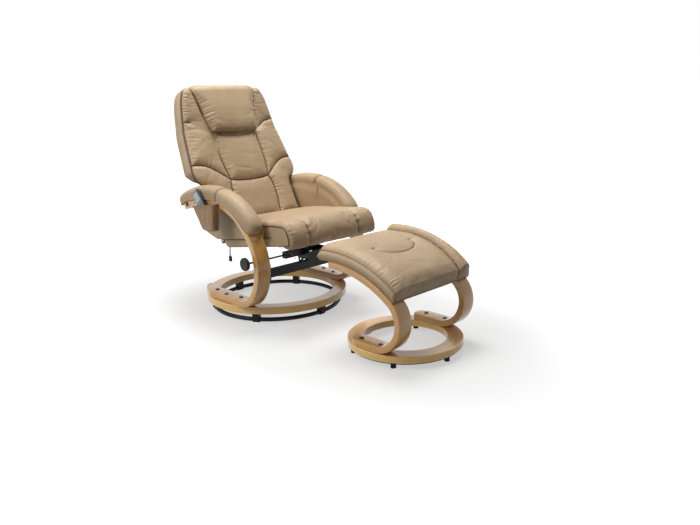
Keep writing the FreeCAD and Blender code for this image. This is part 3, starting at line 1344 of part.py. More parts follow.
def ottoman_leg(label, side):
    body = new_body(label)
    outline = strip_outline(leg_line, s.leg_foot_rear, stool_top, s.leg_thickness)
    sketch = draw(new_sketch(body, "YZ_Plane", f"{side} * leg_centre"), *outline)
    blank = pad(body, sketch, "leg_width", symmetric=True)
    body.Tip = round_edges(body, blank, "wood_round", bent_edge)
    foot_trim(body, side, s.stool_ring_outer, s.leg_foot_rear, s.leg_centre - s.leg_width / 2,
              STOOL_TOP, "leg_thickness")
    holes = draw(new_sketch(body, "XY_Plane", STOOL_TOP),
                 *[circle(x, y, s.bolt_radius) for x, y in leg_bolt_places(side)])
    body.Tip = pocket(body, holes, "leg_thickness", upwards=True)
    seats = draw(new_sketch(body, "XY_Plane", STOOL_TOP + " + leg_thickness"),
                 *[circle(x, y, s.leg_bolt_head) for x, y in leg_bolt_places(side)])
    body.Tip = pocket(body, seats, "bolt_head_height + overrun", upwards=True)
    at_ottoman(body)


def ottoman_bolts():
    bolts = []
    for side in (-1, 1):
        for number, y in enumerate(("leg_bolt_rear", "-leg_bolt_front")):
            bolts.append(headed_pin(
                f"ottoman_bolt_{side + 2}_{number}", "bolt_radius", "leg_thickness + bolt_bite",
                "leg_bolt_head", "bolt_head_height", f"ottoman_x + {side} * leg_bolt_x",
                f"ottoman_y + {y}", f"{STOOL_TOP} + leg_thickness", X_AXIS, "180"))
    group("ottoman_bolts", bolts)


STOOL_START_TURN = 138


def stool_profile(x, low, high, crown=0.0, draw_in=0.0):
    """A side view of what lies on the legs, between two heights above the wood."""
    point = lambda y, z: Vector(x, y, z)
    start = STOOL_START_TURN + draw_in * STOOL_DRAW_SHARE
    bottom = leg_line.run(start, leg_line.turned, low, point)
    top = turned_round(leg_line.run(start, leg_line.turned, high, point))
    tail = s.stool_overhang - draw_in
    low_tail = point(*leg_line.place(leg_line.turned, low, tail))
    high_tail = point(*leg_line.place(leg_line.turned, high, tail))
    front_low, front_high = bottom[0].toShape().Vertexes[0].Point, top[-1].toShape().Vertexes[-1].Point
    rear_low, rear_high = bottom[-1].toShape().Vertexes[-1].Point, top[0].toShape().Vertexes[0].Point
    out = (high - low) * 0.2 + crown
    return wire_of([*bottom, Part.LineSegment(rear_low, low_tail),
                    bulged(low_tail, high_tail, Vector(0, out, 0)),
                    Part.LineSegment(high_tail, rear_high), *top,
                    bulged(front_high, front_low, Vector(0, -out * 0.7, -out * 0.7))])


STOOL_DRAW_SHARE = 0.15


def ottoman_top():
    middle = Placement(Vector(s.ottoman_x, s.ottoman_y, 0), Rotation())
    gap = s.cushion_gap
    board = [stool_profile(x, gap, s.board_thickness + gap, 0, s.strip_thickness)
             for x in (-s.board_half_width, s.board_half_width)]
    feature("ottoman_board", placed(loft(board, ruled=True), middle))
    low = s.board_thickness + 2 * gap
    full = low + s.stool_height
    piping, crown = s.stool_piping_width, s.stool_crown
    wires = [stool_profile(-s.stool_half_width, low, low + s.stool_height * 0.3, 0, crown),
             stool_profile(-piping, low, full, 0, crown * 0.2),
             stool_profile(-piping * 0.6, low, full + crown * 0.8),
             stool_profile(0, low, full + crown),
             stool_profile(piping * 0.6, low, full + crown * 0.8),
             stool_profile(piping, low, full, 0, crown * 0.2),
             stool_profile(s.stool_half_width, low, low + s.stool_height * 0.3, 0, crown)]
    feature("ottoman_cushion", placed(loft(wires), middle))


# Building everything
def build():
    floor_ring()
    floor_pads()
    wood_ring()
    glide_blocks()
    glide_screws()
    for name, side in (("right", -1), ("left", 1)):
        arm("arm_" + name, side)
        arm_bolts("arm_bolts_" + name, side)
        arm_panel("arm_panel_" + name, side)
    arm_pads()
    recline_bolts()
    cross_beam()
    beam_end_plates()
    beam_screws()
    guide_bracket()
    clamp_tube()
    clamp_bushes()
    clamp_nut()
    knob()
    knob_rod()
    back_layers()
    back_frame()
    back_pivot_plates()
    back_webbing()
    massage_motors()
    back_cushions()
    seat_casing()
    seat_frame()
    seat_springs()
    seat_cushion()
    slide_plates()
    seat_hinge_plates()
    hinge_pins()
    control_box()
    pigtail()
    pouch()
    pouch_screws()
    handset_shell()
    handset_screen()
    handset_keys()
    ottoman_base()
    for name, side in (("right", -1), ("left", 1)):
        ottoman_leg("ottoman_leg_" + name, side)
    ottoman_bolts()
    ottoman_top()


build()
doc.recompute()

# Every feature must have worked, and every piece must be a sound solid
faults = [f"{item.Label}: {item.State}" for item in doc.Objects
          if "Invalid" in item.State or "Error" in item.State]
faults += [f"{item.Label}: no sound shape" for item in nodes
           if item.Shape.isNull() or not item.Shape.isValid() or not item.Shape.Solids]
if faults:
    raise RuntimeError("; ".join(faults))

# The frame's origin is the middle of the footprint, on the floor
whole = FreeCAD.BoundBox()
for item in nodes:
    whole.add(item.Shape.optimalBoundingBox(True, False))
shift = Vector(-(whole.XMin + whole.XMax) / 2, -(whole.YMin + whole.YMax) / 2, -whole.ZMin)
print("recline axis at y, z", [round(value, 4) for value in (recline_y, recline_z)],
      "before the shift")
print("chair axis at", [round(value, 4) for value in shift], "size",
      [round(value, 1) for value in (whole.XLength, whole.YLength, whole.ZLength)])
for item in nodes:
    shape = item.Shape.copy()
    shape.Placement = Placement(shift, Rotation()).multiply(shape.Placement)
    shape.exportStep(f"parts/{item.Label}.step")
    print(f"{item.Label:22s} solids {len(shape.Solids)} volume {shape.Volume / 1000:10.2f} cm3")
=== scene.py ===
# %% [markdown]
# # A massage recliner and its ottoman
# The real thing is a swivelling lounge chair: two bent laminated wood arms stand on a wooden
# ring, and leather cushions hang between them. This lesson dresses its CAD model for a picture.
# Hard parts keep their CAD shape and get a finish. Everything soft is sewn anew, and the bent
# wood is swept again, so that its grain can follow the bends.

# %% Load the frame
import json
import math
import random

import bpy
import numpy as np
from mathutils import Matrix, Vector


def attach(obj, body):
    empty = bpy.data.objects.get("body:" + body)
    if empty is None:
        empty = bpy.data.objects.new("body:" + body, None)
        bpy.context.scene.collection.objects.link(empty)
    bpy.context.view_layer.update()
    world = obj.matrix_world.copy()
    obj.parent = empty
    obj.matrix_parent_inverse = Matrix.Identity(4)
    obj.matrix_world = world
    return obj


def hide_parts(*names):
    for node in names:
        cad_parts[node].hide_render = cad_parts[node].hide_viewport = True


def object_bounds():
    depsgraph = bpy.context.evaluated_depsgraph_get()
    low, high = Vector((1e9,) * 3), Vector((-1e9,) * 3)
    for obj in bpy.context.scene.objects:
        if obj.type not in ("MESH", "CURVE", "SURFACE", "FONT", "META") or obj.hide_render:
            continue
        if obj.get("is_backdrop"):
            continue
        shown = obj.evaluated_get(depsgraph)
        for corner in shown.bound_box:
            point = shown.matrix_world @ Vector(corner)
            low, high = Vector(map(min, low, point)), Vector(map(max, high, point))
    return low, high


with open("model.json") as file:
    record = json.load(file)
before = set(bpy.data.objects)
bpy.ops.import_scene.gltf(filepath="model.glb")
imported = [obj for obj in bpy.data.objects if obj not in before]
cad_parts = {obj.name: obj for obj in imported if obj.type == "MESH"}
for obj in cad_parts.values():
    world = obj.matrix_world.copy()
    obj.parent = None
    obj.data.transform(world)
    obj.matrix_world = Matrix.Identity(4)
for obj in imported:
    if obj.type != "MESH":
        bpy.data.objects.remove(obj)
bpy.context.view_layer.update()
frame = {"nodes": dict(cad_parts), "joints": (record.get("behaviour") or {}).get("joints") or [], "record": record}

# %% [markdown]
# The CAD model was drawn in millimetres about the chair's swivel axis, and then moved so that
# its footprint is centred. The swivel joint in the record says where that axis is now. Every
# place below is written in millimetres from the axis, and `chair` turns it into metres.

# %% Places on the chair
MM = 0.001
swivel = next(joint for joint in frame["joints"] if joint["name"] == "swivel")
axis_x, axis_y = swivel["pos_m"][:2]


def chair(x, y, z):
    """Places in metres for millimetres from the swivel axis, also for whole arrays."""
    x, y, z = np.broadcast_arrays(x, y, z)
    return np.stack([axis_x + x * MM, axis_y + y * MM, z * MM], -1)


BACK_Y, BACK_Z, BACK_TILT = 183, 582, math.radians(28)
NOD_START, NOD_END, NOD_SLOPE = 258.5, 472, 0.2


def on_back(across, depth, up):
    """A place in the back's own directions: the back leans, and nods forward near its top."""
    depth = depth - NOD_SLOPE * np.maximum(0, np.minimum(up, NOD_END) - NOD_START)
    return chair(across, BACK_Y + depth * math.cos(BACK_TILT) + up * math.sin(BACK_TILT),
                 BACK_Z - depth * math.sin(BACK_TILT) + up * math.cos(BACK_TILT))


SEAT_Y, SEAT_Z, SEAT_TILT = 53, 301, math.radians(9.6)


def on_seat(across, back, up):
    """A place in the seat's own directions: it slopes down to the rear."""
    return chair(across, SEAT_Y + back * math.cos(SEAT_TILT) + up * math.sin(SEAT_TILT),
                 SEAT_Z - back * math.sin(SEAT_TILT) + up * math.cos(SEAT_TILT))


print("swivel axis at", round(axis_x, 4), round(axis_y, 4))

# %% [markdown]
# ## Camera
# The camera comes first, because it says what the picture shows. It stands at the sitter's right,
# a little over seat height, and its place was fitted to the two rings and the arms.

# %% Camera
def placed(name, data):
    """An object for some data, linked to the scene."""
    item = bpy.data.objects.new(name, data)
    bpy.context.scene.collection.objects.link(item)
    return item


def aimed(item, place, target):
    """Stands an object at one place and points it at another, both from the swivel axis."""
    item.location = axis_on_floor + Vector(place)
    aim = axis_on_floor + Vector(target) - item.location
    item.rotation_euler = aim.to_track_quat("-Z", "Y").to_euler()


axis_on_floor = Vector((axis_x, axis_y, 0))
camera_data = bpy.data.cameras.new("camera")
camera_data.lens, camera_data.sensor_width = 34.35, 36
camera_data.shift_x, camera_data.shift_y = -0.0687, -0.0084
camera = placed("camera", camera_data)
aimed(camera, (-1.920, -2.499, 1.032), (0.06797, -0.72191, 0.3352))
bpy.context.scene.camera = camera
print("camera", [round(value, 3) for value in camera.location])

# %% [markdown]
# ## Building blocks
# Most pieces are grids of points worked out with numpy: a sewn panel, a swept tube, a bent strip.
# `mesh_piece` turns points and faces into an object at the origin, and `dress` gives it a body to
# ride on, a material slot and its finish.

# %% Mesh helpers
def mesh_piece(name, points, faces, uvs=None, face_kinds=None, smooth=True):
    """A mesh object from points in metres. uvs holds one pair for each point."""
    mesh = bpy.data.meshes.new(name)
    mesh.from_pydata([tuple(point) for point in points], [], [tuple(face) for face in faces])
    if uvs is not None:
        layer = mesh.uv_layers.new(name="UVMap")
        corners = np.empty(len(mesh.loops), dtype=np.int32)
        mesh.loops.foreach_get("vertex_index", corners)
        layer.data.foreach_set("uv", np.asarray(uvs, dtype=np.float32)[corners].ravel())
    if face_kinds is not None:
        mesh.polygons.foreach_set("material_index", face_kinds)
    mesh.polygons.foreach_set("use_smooth", [smooth] * len(mesh.polygons))
    mesh.update()
    return placed(name, mesh)


def dress(piece, body, slot, *finishes, replaces=()):
    """Gives a piece its finishes and its body, and hides the CAD nodes it stands for. slot is not used."""
    piece.data.materials.clear()
    for material in finishes:
        piece.data.materials.append(material)
    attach(piece, body)
    if replaces:
        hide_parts(*replaces)


def cushion(piece, body, material, replaces=()):
    """Dresses a padded piece of leather."""
    dress(piece, body, "tan_leather", material, replaces=replaces)


def outwards(piece):
    """Turns every face outwards, which needs a closed mesh."""
    for other in bpy.context.selected_objects:
        other.select_set(False)
    bpy.context.view_layer.objects.active = piece
    piece.select_set(True)
    bpy.ops.object.mode_set(mode="EDIT")
    bpy.ops.mesh.select_all(action="SELECT")
    bpy.ops.mesh.remove_doubles(threshold=1e-6)
    bpy.ops.mesh.normals_make_consistent(inside=False)
    bpy.ops.object.mode_set(mode="OBJECT")
    piece.select_set(False)
    return piece


print("mesh helpers ready")

# %% [markdown]
# A grid of points is joined by quads. A tube is a grid whose last column meets the first, with a
# face over each end. Two runs of points that belong to no grid are joined by a strip of quads.

# %% Faces
def grid_faces(rows, columns, start=0, closed=False):
    """Quads over points laid out row by row. closed joins the last column to the first."""
    faces = []
    for row in range(rows - 1):
        for column in range(columns if closed else columns - 1):
            after = (column + 1) % columns
            low, high = start + row * columns, start + (row + 1) * columns
            faces.append((low + column, low + after, high + after, high + column))
    return faces


def tube_faces(rows, columns, start=0):
    """A closed grid of rings, with a face over both ends."""
    last = start + (rows - 1) * columns
    return grid_faces(rows, columns, start, closed=True) + [
        tuple(range(start, start + columns))[::-1], tuple(range(last, last + columns))]


def strip_between(first, second, closed=False):
    """Quads between two runs of points."""
    if closed:
        first, second = [*first, first[0]], [*second, second[0]]
    return [(a, b, d, c) for a, b, c, d in zip(first, first[1:], second, second[1:])]


def band_between(first, second):
    """Quads between two closed runs of points, turned the other way."""
    return [(a, d, c, b) for a, b, c, d in strip_between(first, second, closed=True)]


print("a grid of 3 by 4 points has", len(grid_faces(3, 4)), "faces")

# %% [markdown]
# Every outline and seam is a smooth line through a few control points, a Catmull-Rom spline. Its
# points are then spread evenly, so that the faces built on it are of one size.

# %% Lines
SPLINE_STEPS = 24


def run_length(points):
    """How far along a line each of its points is."""
    return np.concatenate([[0], np.cumsum(np.linalg.norm(np.diff(points, axis=0), axis=1))])


def even(points, count):
    """The same line with evenly spaced points."""
    run = run_length(points)
    wanted = np.linspace(0, run[-1], count)
    return np.stack([np.interp(wanted, run, values) for values in points.T], -1)


def smooth_line(controls, count):
    """Points evenly spaced along a smooth line that goes through every control point."""
    controls = np.asarray(controls, dtype=float)
    if len(controls) == 2:
        share = np.linspace(0, 1, count)[:, None]
        return controls[0] * (1 - share) + controls[1] * share
    padded = np.vstack([2 * controls[0] - controls[1], controls, 2 * controls[-1] - controls[-2]])
    t = np.linspace(0, 1, SPLINE_STEPS, endpoint=False)[:, None]
    dense = [0.5 * (2 * b + (c - a) * t + (2 * a - 5 * b + 4 * c - d) * t ** 2
                    + (3 * b - a - 3 * c + d) * t ** 3)
             for a, b, c, d in zip(padded, padded[1:], padded[2:], padded[3:])]
    return even(np.vstack(dense + [controls[-1:]]), count)


print("half a circle's length", round(float(run_length(smooth_line(
    [(math.cos(a), math.sin(a)) for a in np.linspace(0, math.pi, 9)], 90))[-1]), 3))

# %% [markdown]
# Piping is a cord with leather sewn round it, and it marks almost every seam of this chair. A
# bevelled curve could draw it, but a swept mesh keeps its UVs along the run, so that the tiny
# puckers of the leather go round the cord. `swept` carries a ring along a line without twist.

# %% Swept tubes
PIPING_UV = 0.02


def swept(name, lines, radius, sides=10, closed=False):
    """One piece made of a tube along each of several lines. Its UVs run along the tube."""
    points, faces, uvs = [], [], []
    for line in lines:
        line = np.asarray(line, dtype=float)
        start, count = len(points), len(line)
        ahead = np.roll(line, -1, 0) - np.roll(line, 1, 0) if closed else np.gradient(line, axis=0)
        ahead = ahead / np.linalg.norm(ahead, axis=1)[:, None]
        normal = np.cross(ahead[0], [0.31, 0.17, 0.94])
        for place, direction, run in zip(line, ahead, run_length(line)):
            normal = normal - direction * normal.dot(direction)
            normal /= np.linalg.norm(normal)
            side = np.cross(direction, normal)
            for angle in np.linspace(0, 2 * math.pi, sides, endpoint=False):
                offset = normal * math.cos(angle) + side * math.sin(angle)
                points.append(place + offset * radius)
                uvs.append((run, angle / (2 * math.pi) * PIPING_UV))
        if closed:
            ring = list(range(start, start + sides))
            last = [corner + (count - 1) * sides for corner in ring]
            faces += grid_faces(count, sides, start, closed=True)
            faces += strip_between(last, ring, closed=True)
        else:
            faces += tube_faces(count, sides, start)
    return outwards(mesh_piece(name, points, faces, uvs))


def piped(name, lines, radius, body, material, sides=10, closed=False):
    """A tube of piping or thread in leather, with its radius in millimetres."""
    piece = swept(name, lines, radius * MM, sides, closed)
    dress(piece, body, "tan_leather", material)
    print(name, "points", len(piece.data.vertices))


print("tube helpers ready")

# %% [markdown]
# ## Finishes
# Each finish is a small node tree on Blender's Principled shader. `finish` starts one, and `add`
# puts a node in it and wires its inputs, so that a tree reads as a short list. Numbers that are
# the same all over a surface stay on the shader's own sockets.

# %% Node helpers
WHITE, BLACK = (1, 1, 1, 1), (0, 0, 0, 1)


def linear(red, green, blue):
    """A colour picked on a 0 to 255 scale, as the linear values that shaders want."""
    values = [value / 255 for value in (red, green, blue)]
    return (*[v / 12.92 if v <= 0.04045 else ((v + 0.055) / 1.055) ** 2.4 for v in values], 1.0)


def finish(name, **sockets):
    """A new material, its tree and its shader."""
    material = bpy.data.materials.new(name)
    material.use_nodes = True
    tree = material.node_tree
    shader = next(item for item in tree.nodes if item.type == "BSDF_PRINCIPLED")
    for label, value in sockets.items():
        shader.inputs[label.replace("_", " ")].default_value = value
    return material, tree, shader


def add(tree, kind, inputs=(), output=0, **settings):
    """Adds a node and returns one of its outputs. An input takes a value or another's output."""
    item = tree.nodes.new("ShaderNode" + kind)
    for label, value in settings.items():
        setattr(item, label, value)
    for socket, value in dict(inputs).items():
        fed(tree, item.inputs[socket], value)
    return item.outputs[output]


def fed(tree, socket, value):
    """Gives a socket a value, or wires another socket to it."""
    if isinstance(value, bpy.types.NodeSocket):
        tree.links.new(value, socket)
    else:
        socket.default_value = value


def maths(tree, operation, *values):
    return add(tree, "Math", dict(enumerate(values)), operation=operation)


def split(tree, vector):
    """The three numbers of a vector."""
    return add(tree, "SeparateXYZ", {0: vector}).node.outputs


def mixed(tree, share, first, second, **settings):
    return add(tree, "Mix", {0: share, 6: first, 7: second}, output=2, data_type="RGBA", **settings)


print("node helpers ready")

# %% [markdown]
# A ramp turns a pattern into a colour, and `shaded` multiplies such a ramp over the colour so far.
# `surfaced` closes every tree: it wires colour, roughness and a chain of bumps to the shader.

# %% Patterns
def two_tone(tree, factor, dark, light, low, high):
    """A colour between two, for a factor between low and high."""
    ramp = tree.nodes.new("ShaderNodeValToRGB")
    for element, position, colour in ((0, low, dark), (1, high, light)):
        ramp.color_ramp.elements[element].position = position
        ramp.color_ramp.elements[element].color = colour
    tree.links.new(factor, ramp.inputs[0])
    return ramp.outputs[0]


def shaded(tree, colour, share, *tones):
    """Multiplies a share of a two-tone pattern over a colour."""
    return mixed(tree, share, colour, two_tone(tree, *tones), blend_type="MULTIPLY")


def surfaced(tree, shader, colour, roughness, *bumps):
    """Wires up a shader. Each bump is (height, strength, distance)."""
    tree.links.new(colour, shader.inputs["Base Color"])
    fed(tree, shader.inputs["Roughness"], roughness)
    normal = None
    for height, strength, distance in bumps:
        inputs = {"Height": height, "Strength": strength, "Distance": distance}
        if normal is not None:
            inputs["Normal"] = normal
        normal = add(tree, "Bump", inputs)
    tree.links.new(normal, shader.inputs["Normal"])


def here(tree):
    """Object coordinates: metres in the model's own frame, which ride with every piece."""
    return add(tree, "TexCoord", output=3)


def noise(tree, where, scale, detail=2.0, distortion=0.0, roughness=0.5):
    return add(tree, "TexNoise", {"Vector": where, "Scale": scale, "Detail": detail,
                                  "Distortion": distortion, "Roughness": roughness})


def ranged(tree, value, from_low, from_high, to_low=0.0, to_high=1.0, **settings):
    return add(tree, "MapRange", {"Value": value, "From Min": from_low, "From Max": from_high,
                                  "To Min": to_low, "To Max": to_high}, **settings)


print("pattern helpers ready")

# %% [markdown]
# The leather is tan and semi-aniline: a pebbled grain about a millimetre across, soft creases, and
# a colour that drifts a little. A Voronoi texture gives the pebbles, one noise the creases and
# another the drift. Where a seam pulls the leather in, the `seam` attribute darkens it slightly:
# this is painted shade, for the shadow in the seam's valley.

# %% Leather
def leather(name, dark, light, crease_strength=0.32):
    material, tree, shader = finish(name, Sheen_Weight=0.05, Sheen_Roughness=0.5,
                                    Specular_IOR_Level=0.34)
    where = here(tree)
    drift = noise(tree, where, 5.5, 4.0, 0.4)
    colour = two_tone(tree, drift, linear(*dark), linear(*light), 0.3, 0.7)
    pebbles = add(tree, "TexVoronoi", {"Vector": where, "Scale": 620.0, "Randomness": 0.9},
                  feature="DISTANCE_TO_EDGE")
    pebble = ranged(tree, pebbles, 0.0, 0.16)
    creases = noise(tree, where, 34.0, 5.0, 0.9, 0.6)
    seam = add(tree, "Attribute", output=2, attribute_name="seam")
    colour = shaded(tree, colour, 0.5, pebble, (0.80, 0.77, 0.73, 1), WHITE, 0.0, 0.75)
    # painted shade: the leather is darkened where the crease noise is low, in the creases' valleys
    colour = shaded(tree, colour, 0.45, creases, (0.86, 0.82, 0.77, 1), WHITE, 0.30, 0.5)
    # painted shade: the leather darkens towards the seams' valleys, where the seam attribute is high
    colour = shaded(tree, colour, 1.0, seam, WHITE, (0.34, 0.25, 0.17, 1), 0.0, 1.0)
    surfaced(tree, shader, colour, ranged(tree, drift, 0.3, 0.7, 0.52, 0.42),
             (creases, crease_strength, 0.0016), (pebble, 0.30, 0.00035))
    return material


tan_leather = leather("tan_leather", (164, 139, 108), (180, 156, 124))
# The three leathers below are darker copies of the same tan leather, and their darkness is painted shade: the
# first for parts that hang in shade, the second for the shade round piping, and the last, darkest one for the
# back's and seat's piping and for the cords in the seams.
shade_leather = leather("shade_leather", (140, 111, 77), (156, 127, 92), 0.45)
piping_leather = leather("piping_leather", (138, 110, 77), (158, 130, 95), 0.2)
shade_piping = leather("shade_piping", (78, 56, 36), (98, 74, 50), 0.2)
print("leathers ready")

# %% [markdown]
# The wood is beech veneer, glued up in layers about 1.7 mm thick and bent. Broad faces show long
# grain with the short dark flecks of beech. The narrow edges show every layer as a line. Both
# read the UV map, whose first direction runs along the bend, so the grain bends with the wood.

# %% Bent wood
WOOD_SHINE = {"Specular_IOR_Level": 0.4, "Coat_Weight": 0.85, "Coat_Roughness": 0.14}
LAYERS_PER_METRE = 590.0
LAYER_LINE = (0.66, 0.52, 0.38, 1)


def along_bend(tree, along=None, across=None):
    """The UV map, drawn out by two scales if they are given."""
    where = add(tree, "UVMap", uv_map="UVMap")
    if along is None:
        return where
    return add(tree, "Mapping", {"Vector": where, "Scale": (along, across, 1.0)})


def layered(tree, height, grain, dark, light):
    """Layers of veneer seen edge on: one for every whole number that height passes."""
    shade = add(tree, "TexWhiteNoise", {"W": maths(tree, "FLOOR", height)}, noise_dimensions="1D")
    tone = maths(tree, "MULTIPLY_ADD", shade, 0.5, maths(tree, "MULTIPLY", grain, 0.5))
    colour = two_tone(tree, tone, dark, light, 0.25, 0.75)
    line = maths(tree, "ABSOLUTE", maths(tree, "SUBTRACT", maths(tree, "FRACT", height), 0.5))
    return shaded(tree, colour, 0.7, line, WHITE, LAYER_LINE, 0.4, 0.5)


def wood_face(name, dark, light):
    material, tree, shader = finish(name, **WOOD_SHINE)
    grain = noise(tree, along_bend(tree, 3.0, 90.0), 4.0, 6.0, 0.6, 0.6)
    wide = noise(tree, along_bend(tree, 1.2, 14.0), 3.0, 3.0, 1.2)
    flecks = add(tree, "TexVoronoi", {"Vector": along_bend(tree, 130.0, 900.0), "Scale": 1.0})
    colour = two_tone(tree, grain, dark, light, 0.32, 0.66)
    colour = shaded(tree, colour, 0.8, wide, (0.86, 0.80, 0.74, 1), WHITE, 0.35, 0.6)
    colour = shaded(tree, colour, 0.5, flecks, (0.62, 0.48, 0.36, 1), WHITE, 0.06, 0.2)
    surfaced(tree, shader, colour, ranged(tree, grain, 0.0, 1.0, 0.42, 0.34),
             (grain, 0.12, 0.0004), (flecks, 0.05, 0.0002))
    return material


def wood_edge(name, dark, light):
    """The second UV direction crosses the layers."""
    material, tree, shader = finish(name, **WOOD_SHINE)
    wander = noise(tree, along_bend(tree, 6.0, 60.0), 2.0, 2.0)
    fibres = noise(tree, along_bend(tree, 40.0, 1600.0), 1.0, 4.0)
    crossing = split(tree, along_bend(tree))[1]
    height = maths(tree, "MULTIPLY_ADD", crossing, LAYERS_PER_METRE, wander)
    surfaced(tree, shader, layered(tree, height, fibres, dark, light), 0.4, (fibres, 0.08, 0.0003))
    return material


beech_face = wood_face("beech_face", linear(192, 140, 68), linear(222, 172, 94))
# the edge colour is paler and more golden than the face's: the layers' own colour with a painted highlight along
# the edges
beech_edge = wood_edge("beech_edge", linear(238, 198, 112), linear(253, 226, 146))
print("woods ready")

# %% [markdown]
# The rings are turned from flat laminated board, so their grain runs round the ring and their
# layers lie flat. They keep their CAD shape. An angle about the ring's middle stands in for the
# UV map, and the direction that a face looks in tells the veneer on top from the edge layers.

# %% Ring wood
def ring_wood(name, middle):
    material, tree, shader = finish(name, **WOOD_SHINE)
    x, y, z = split(tree, add(tree, "Mapping", {"Vector": here(tree),
                                                "Location": (-middle[0], -middle[1], 0)}))
    radius = maths(tree, "SQRT", maths(tree, "MULTIPLY_ADD", x, x, maths(tree, "MULTIPLY", y, y)))
    around = add(tree, "CombineXYZ", {0: maths(tree, "DIVIDE", x, radius),
                                      1: maths(tree, "DIVIDE", y, radius),
                                      2: maths(tree, "MULTIPLY", radius, 70.0)})
    grain = noise(tree, around, 3.2, 6.0, 0.5, 0.6)
    face = two_tone(tree, grain, linear(214, 170, 114), linear(236, 196, 138), 0.32, 0.66)
    face = shaded(tree, face, 0.8, noise(tree, around, 0.9, 3.0, 1.0),
                  (0.86, 0.79, 0.72, 1), WHITE, 0.35, 0.6)
    height = maths(tree, "MULTIPLY_ADD", z, LAYERS_PER_METRE, maths(tree, "MULTIPLY", grain, 0.4))
    rim = layered(tree, height, grain, linear(234, 184, 98), linear(251, 212, 130))
    look = split(tree, add(tree, "NewGeometry", output=1))
    upright = two_tone(tree, maths(tree, "ABSOLUTE", look[2]), BLACK, WHITE, 0.45, 0.75)
    surfaced(tree, shader, mixed(tree, upright, rim, face), 0.38, (grain, 0.10, 0.0003))
    return material


OTTOMAN_X, OTTOMAN_Y = -21.5, -842
ottoman_middle = chair(OTTOMAN_X, OTTOMAN_Y, 0)
chair_ring_wood = ring_wood("chair_ring_beech", (axis_x, axis_y))
ottoman_ring_wood = ring_wood("ottoman_ring_beech", ottoman_middle)
print("ottoman middle", ottoman_middle.round(4))

# %% [markdown]
# The black steel is powder coated: a fine orange-peel bump and a satin shine. Moulded plastic has
# a sparkle of texture, rubber is dull, and bare steel is brushed or zinc plated. One small
# function covers all of them, since they differ only in numbers.

# %% Metals, plastics, foam and webbing
def coated(name, colour, rough, metal=0.0, texture=900.0, depth=0.0003, strength=0.15, worn=None,
           **sockets):
    """A plain material with a fine texture. Sharp edges can take a second colour: rubbed wear on
    the black steel, a painted highlight on the handset.
    """
    material, tree, shader = finish(name, Metallic=metal, **sockets)
    where, colour = here(tree), linear(*colour)
    smudge = noise(tree, where, 14.0, 4.0, 0.5)
    tone = two_tone(tree, smudge, tuple(0.82 * c for c in colour[:3]) + (1,), colour, 0.3, 0.65)
    if worn:
        edge = two_tone(tree, add(tree, "NewGeometry", output=7), BLACK, WHITE, 0.53, 0.62)
        tone = mixed(tree, edge, tone, linear(*worn))
    surfaced(tree, shader, tone, ranged(tree, smudge, 0.3, 0.7, rough + 0.06, rough - 0.04),
             (noise(tree, where, texture, 3.0), strength, depth))
    return material


def webbing_finish():
    """Elastic webbing: ribs across the strap, from a wave along it."""
    material, tree, shader = finish("webbing", Sheen_Weight=0.3)
    ribs = add(tree, "TexWave", {"Vector": here(tree), "Scale": 160.0, "Distortion": 0.4},
               wave_type="BANDS", bands_direction="X")
    colour = two_tone(tree, ribs, linear(58, 56, 54), linear(96, 93, 90), 0.2, 0.8)
    surfaced(tree, shader, colour, 0.85, (ribs, 0.6, 0.0008))
    return material


COATS = [
    ("black_steel", (13, 13, 14), 0.38,
     {"texture": 700.0, "worn": (34, 34, 36), "Specular_IOR_Level": 0.24}),
    ("black_plastic", (13, 13, 14), 0.46,
     {"texture": 1500.0, "strength": 0.25, "Specular_IOR_Level": 0.25}),
    ("black_rubber", (12, 12, 12), 0.70,
     {"texture": 1200.0, "strength": 0.3, "Specular_IOR_Level": 0.25}),
    ("zinc_steel", (176, 177, 180), 0.36, {"metal": 1.0, "texture": 300.0}),
    ("spring_steel", (120, 121, 124), 0.34, {"metal": 1.0, "texture": 500.0}),
    # the handset's light edge colour is a painted highlight
    ("handset_plastic", (44, 45, 50), 0.22,
     {"texture": 1800.0, "strength": 0.06, "worn": (120, 122, 128)}),
    ("screen_glass", (150, 178, 168), 0.12,
     {"texture": 200.0, "strength": 0.02, "Coat_Weight": 0.6, "Coat_Roughness": 0.05}),
    ("key_plastic", (168, 170, 174), 0.26, {"texture": 1400.0, "strength": 0.08}),
    ("plywood", (206, 162, 104), 0.5, {"texture": 260.0}),
    ("foam", (222, 214, 184), 0.9, {"texture": 480.0, "strength": 0.8, "depth": 0.001}),
]
finishes = {name: coated(name, colour, rough, **more) for name, colour, rough, more in COATS}
finishes.update(beech=beech_face, tan_leather=tan_leather, webbing=webbing_finish(),
                screen=finishes["screen_glass"])
print("finishes", sorted(finishes))

# %% [markdown]
# The handset's outer face carries a pale plate. It is part of the same shell, so the colour
# changes beyond one place across. Then every CAD node gets the finish of its slot, and the rings
# get their own.

# %% Finishes of the CAD nodes
HANDSET_FACE = -342.3


def face_plate(material):
    tree = material.node_tree
    shader = next(item for item in tree.nodes if item.type == "BSDF_PRINCIPLED")
    shell = shader.inputs["Base Color"].links[0].from_socket
    place = split(tree, here(tree))
    beyond = maths(tree, "LESS_THAN", place[0], axis_x + HANDSET_FACE * MM)
    # the plate is darker at its foot and lighter towards its top, which paints the highlight there
    plate = two_tone(tree, ranged(tree, place[2], 0.45, 0.56), linear(62, 70, 90),
                     linear(106, 117, 128), 0.2, 0.9)
    tree.links.new(mixed(tree, beyond, shell, plate), shader.inputs["Base Color"])


face_plate(finishes["handset_plastic"])
ring_finishes = {"wood_ring": chair_ring_wood, "ottoman_ring": ottoman_ring_wood}
for part in frame["record"]["subparts"]:
    node = frame["nodes"][part["node"]]
    node.data.materials.clear()
    node.data.materials.append(ring_finishes.get(part["node"], finishes[part["material_slot"]]))
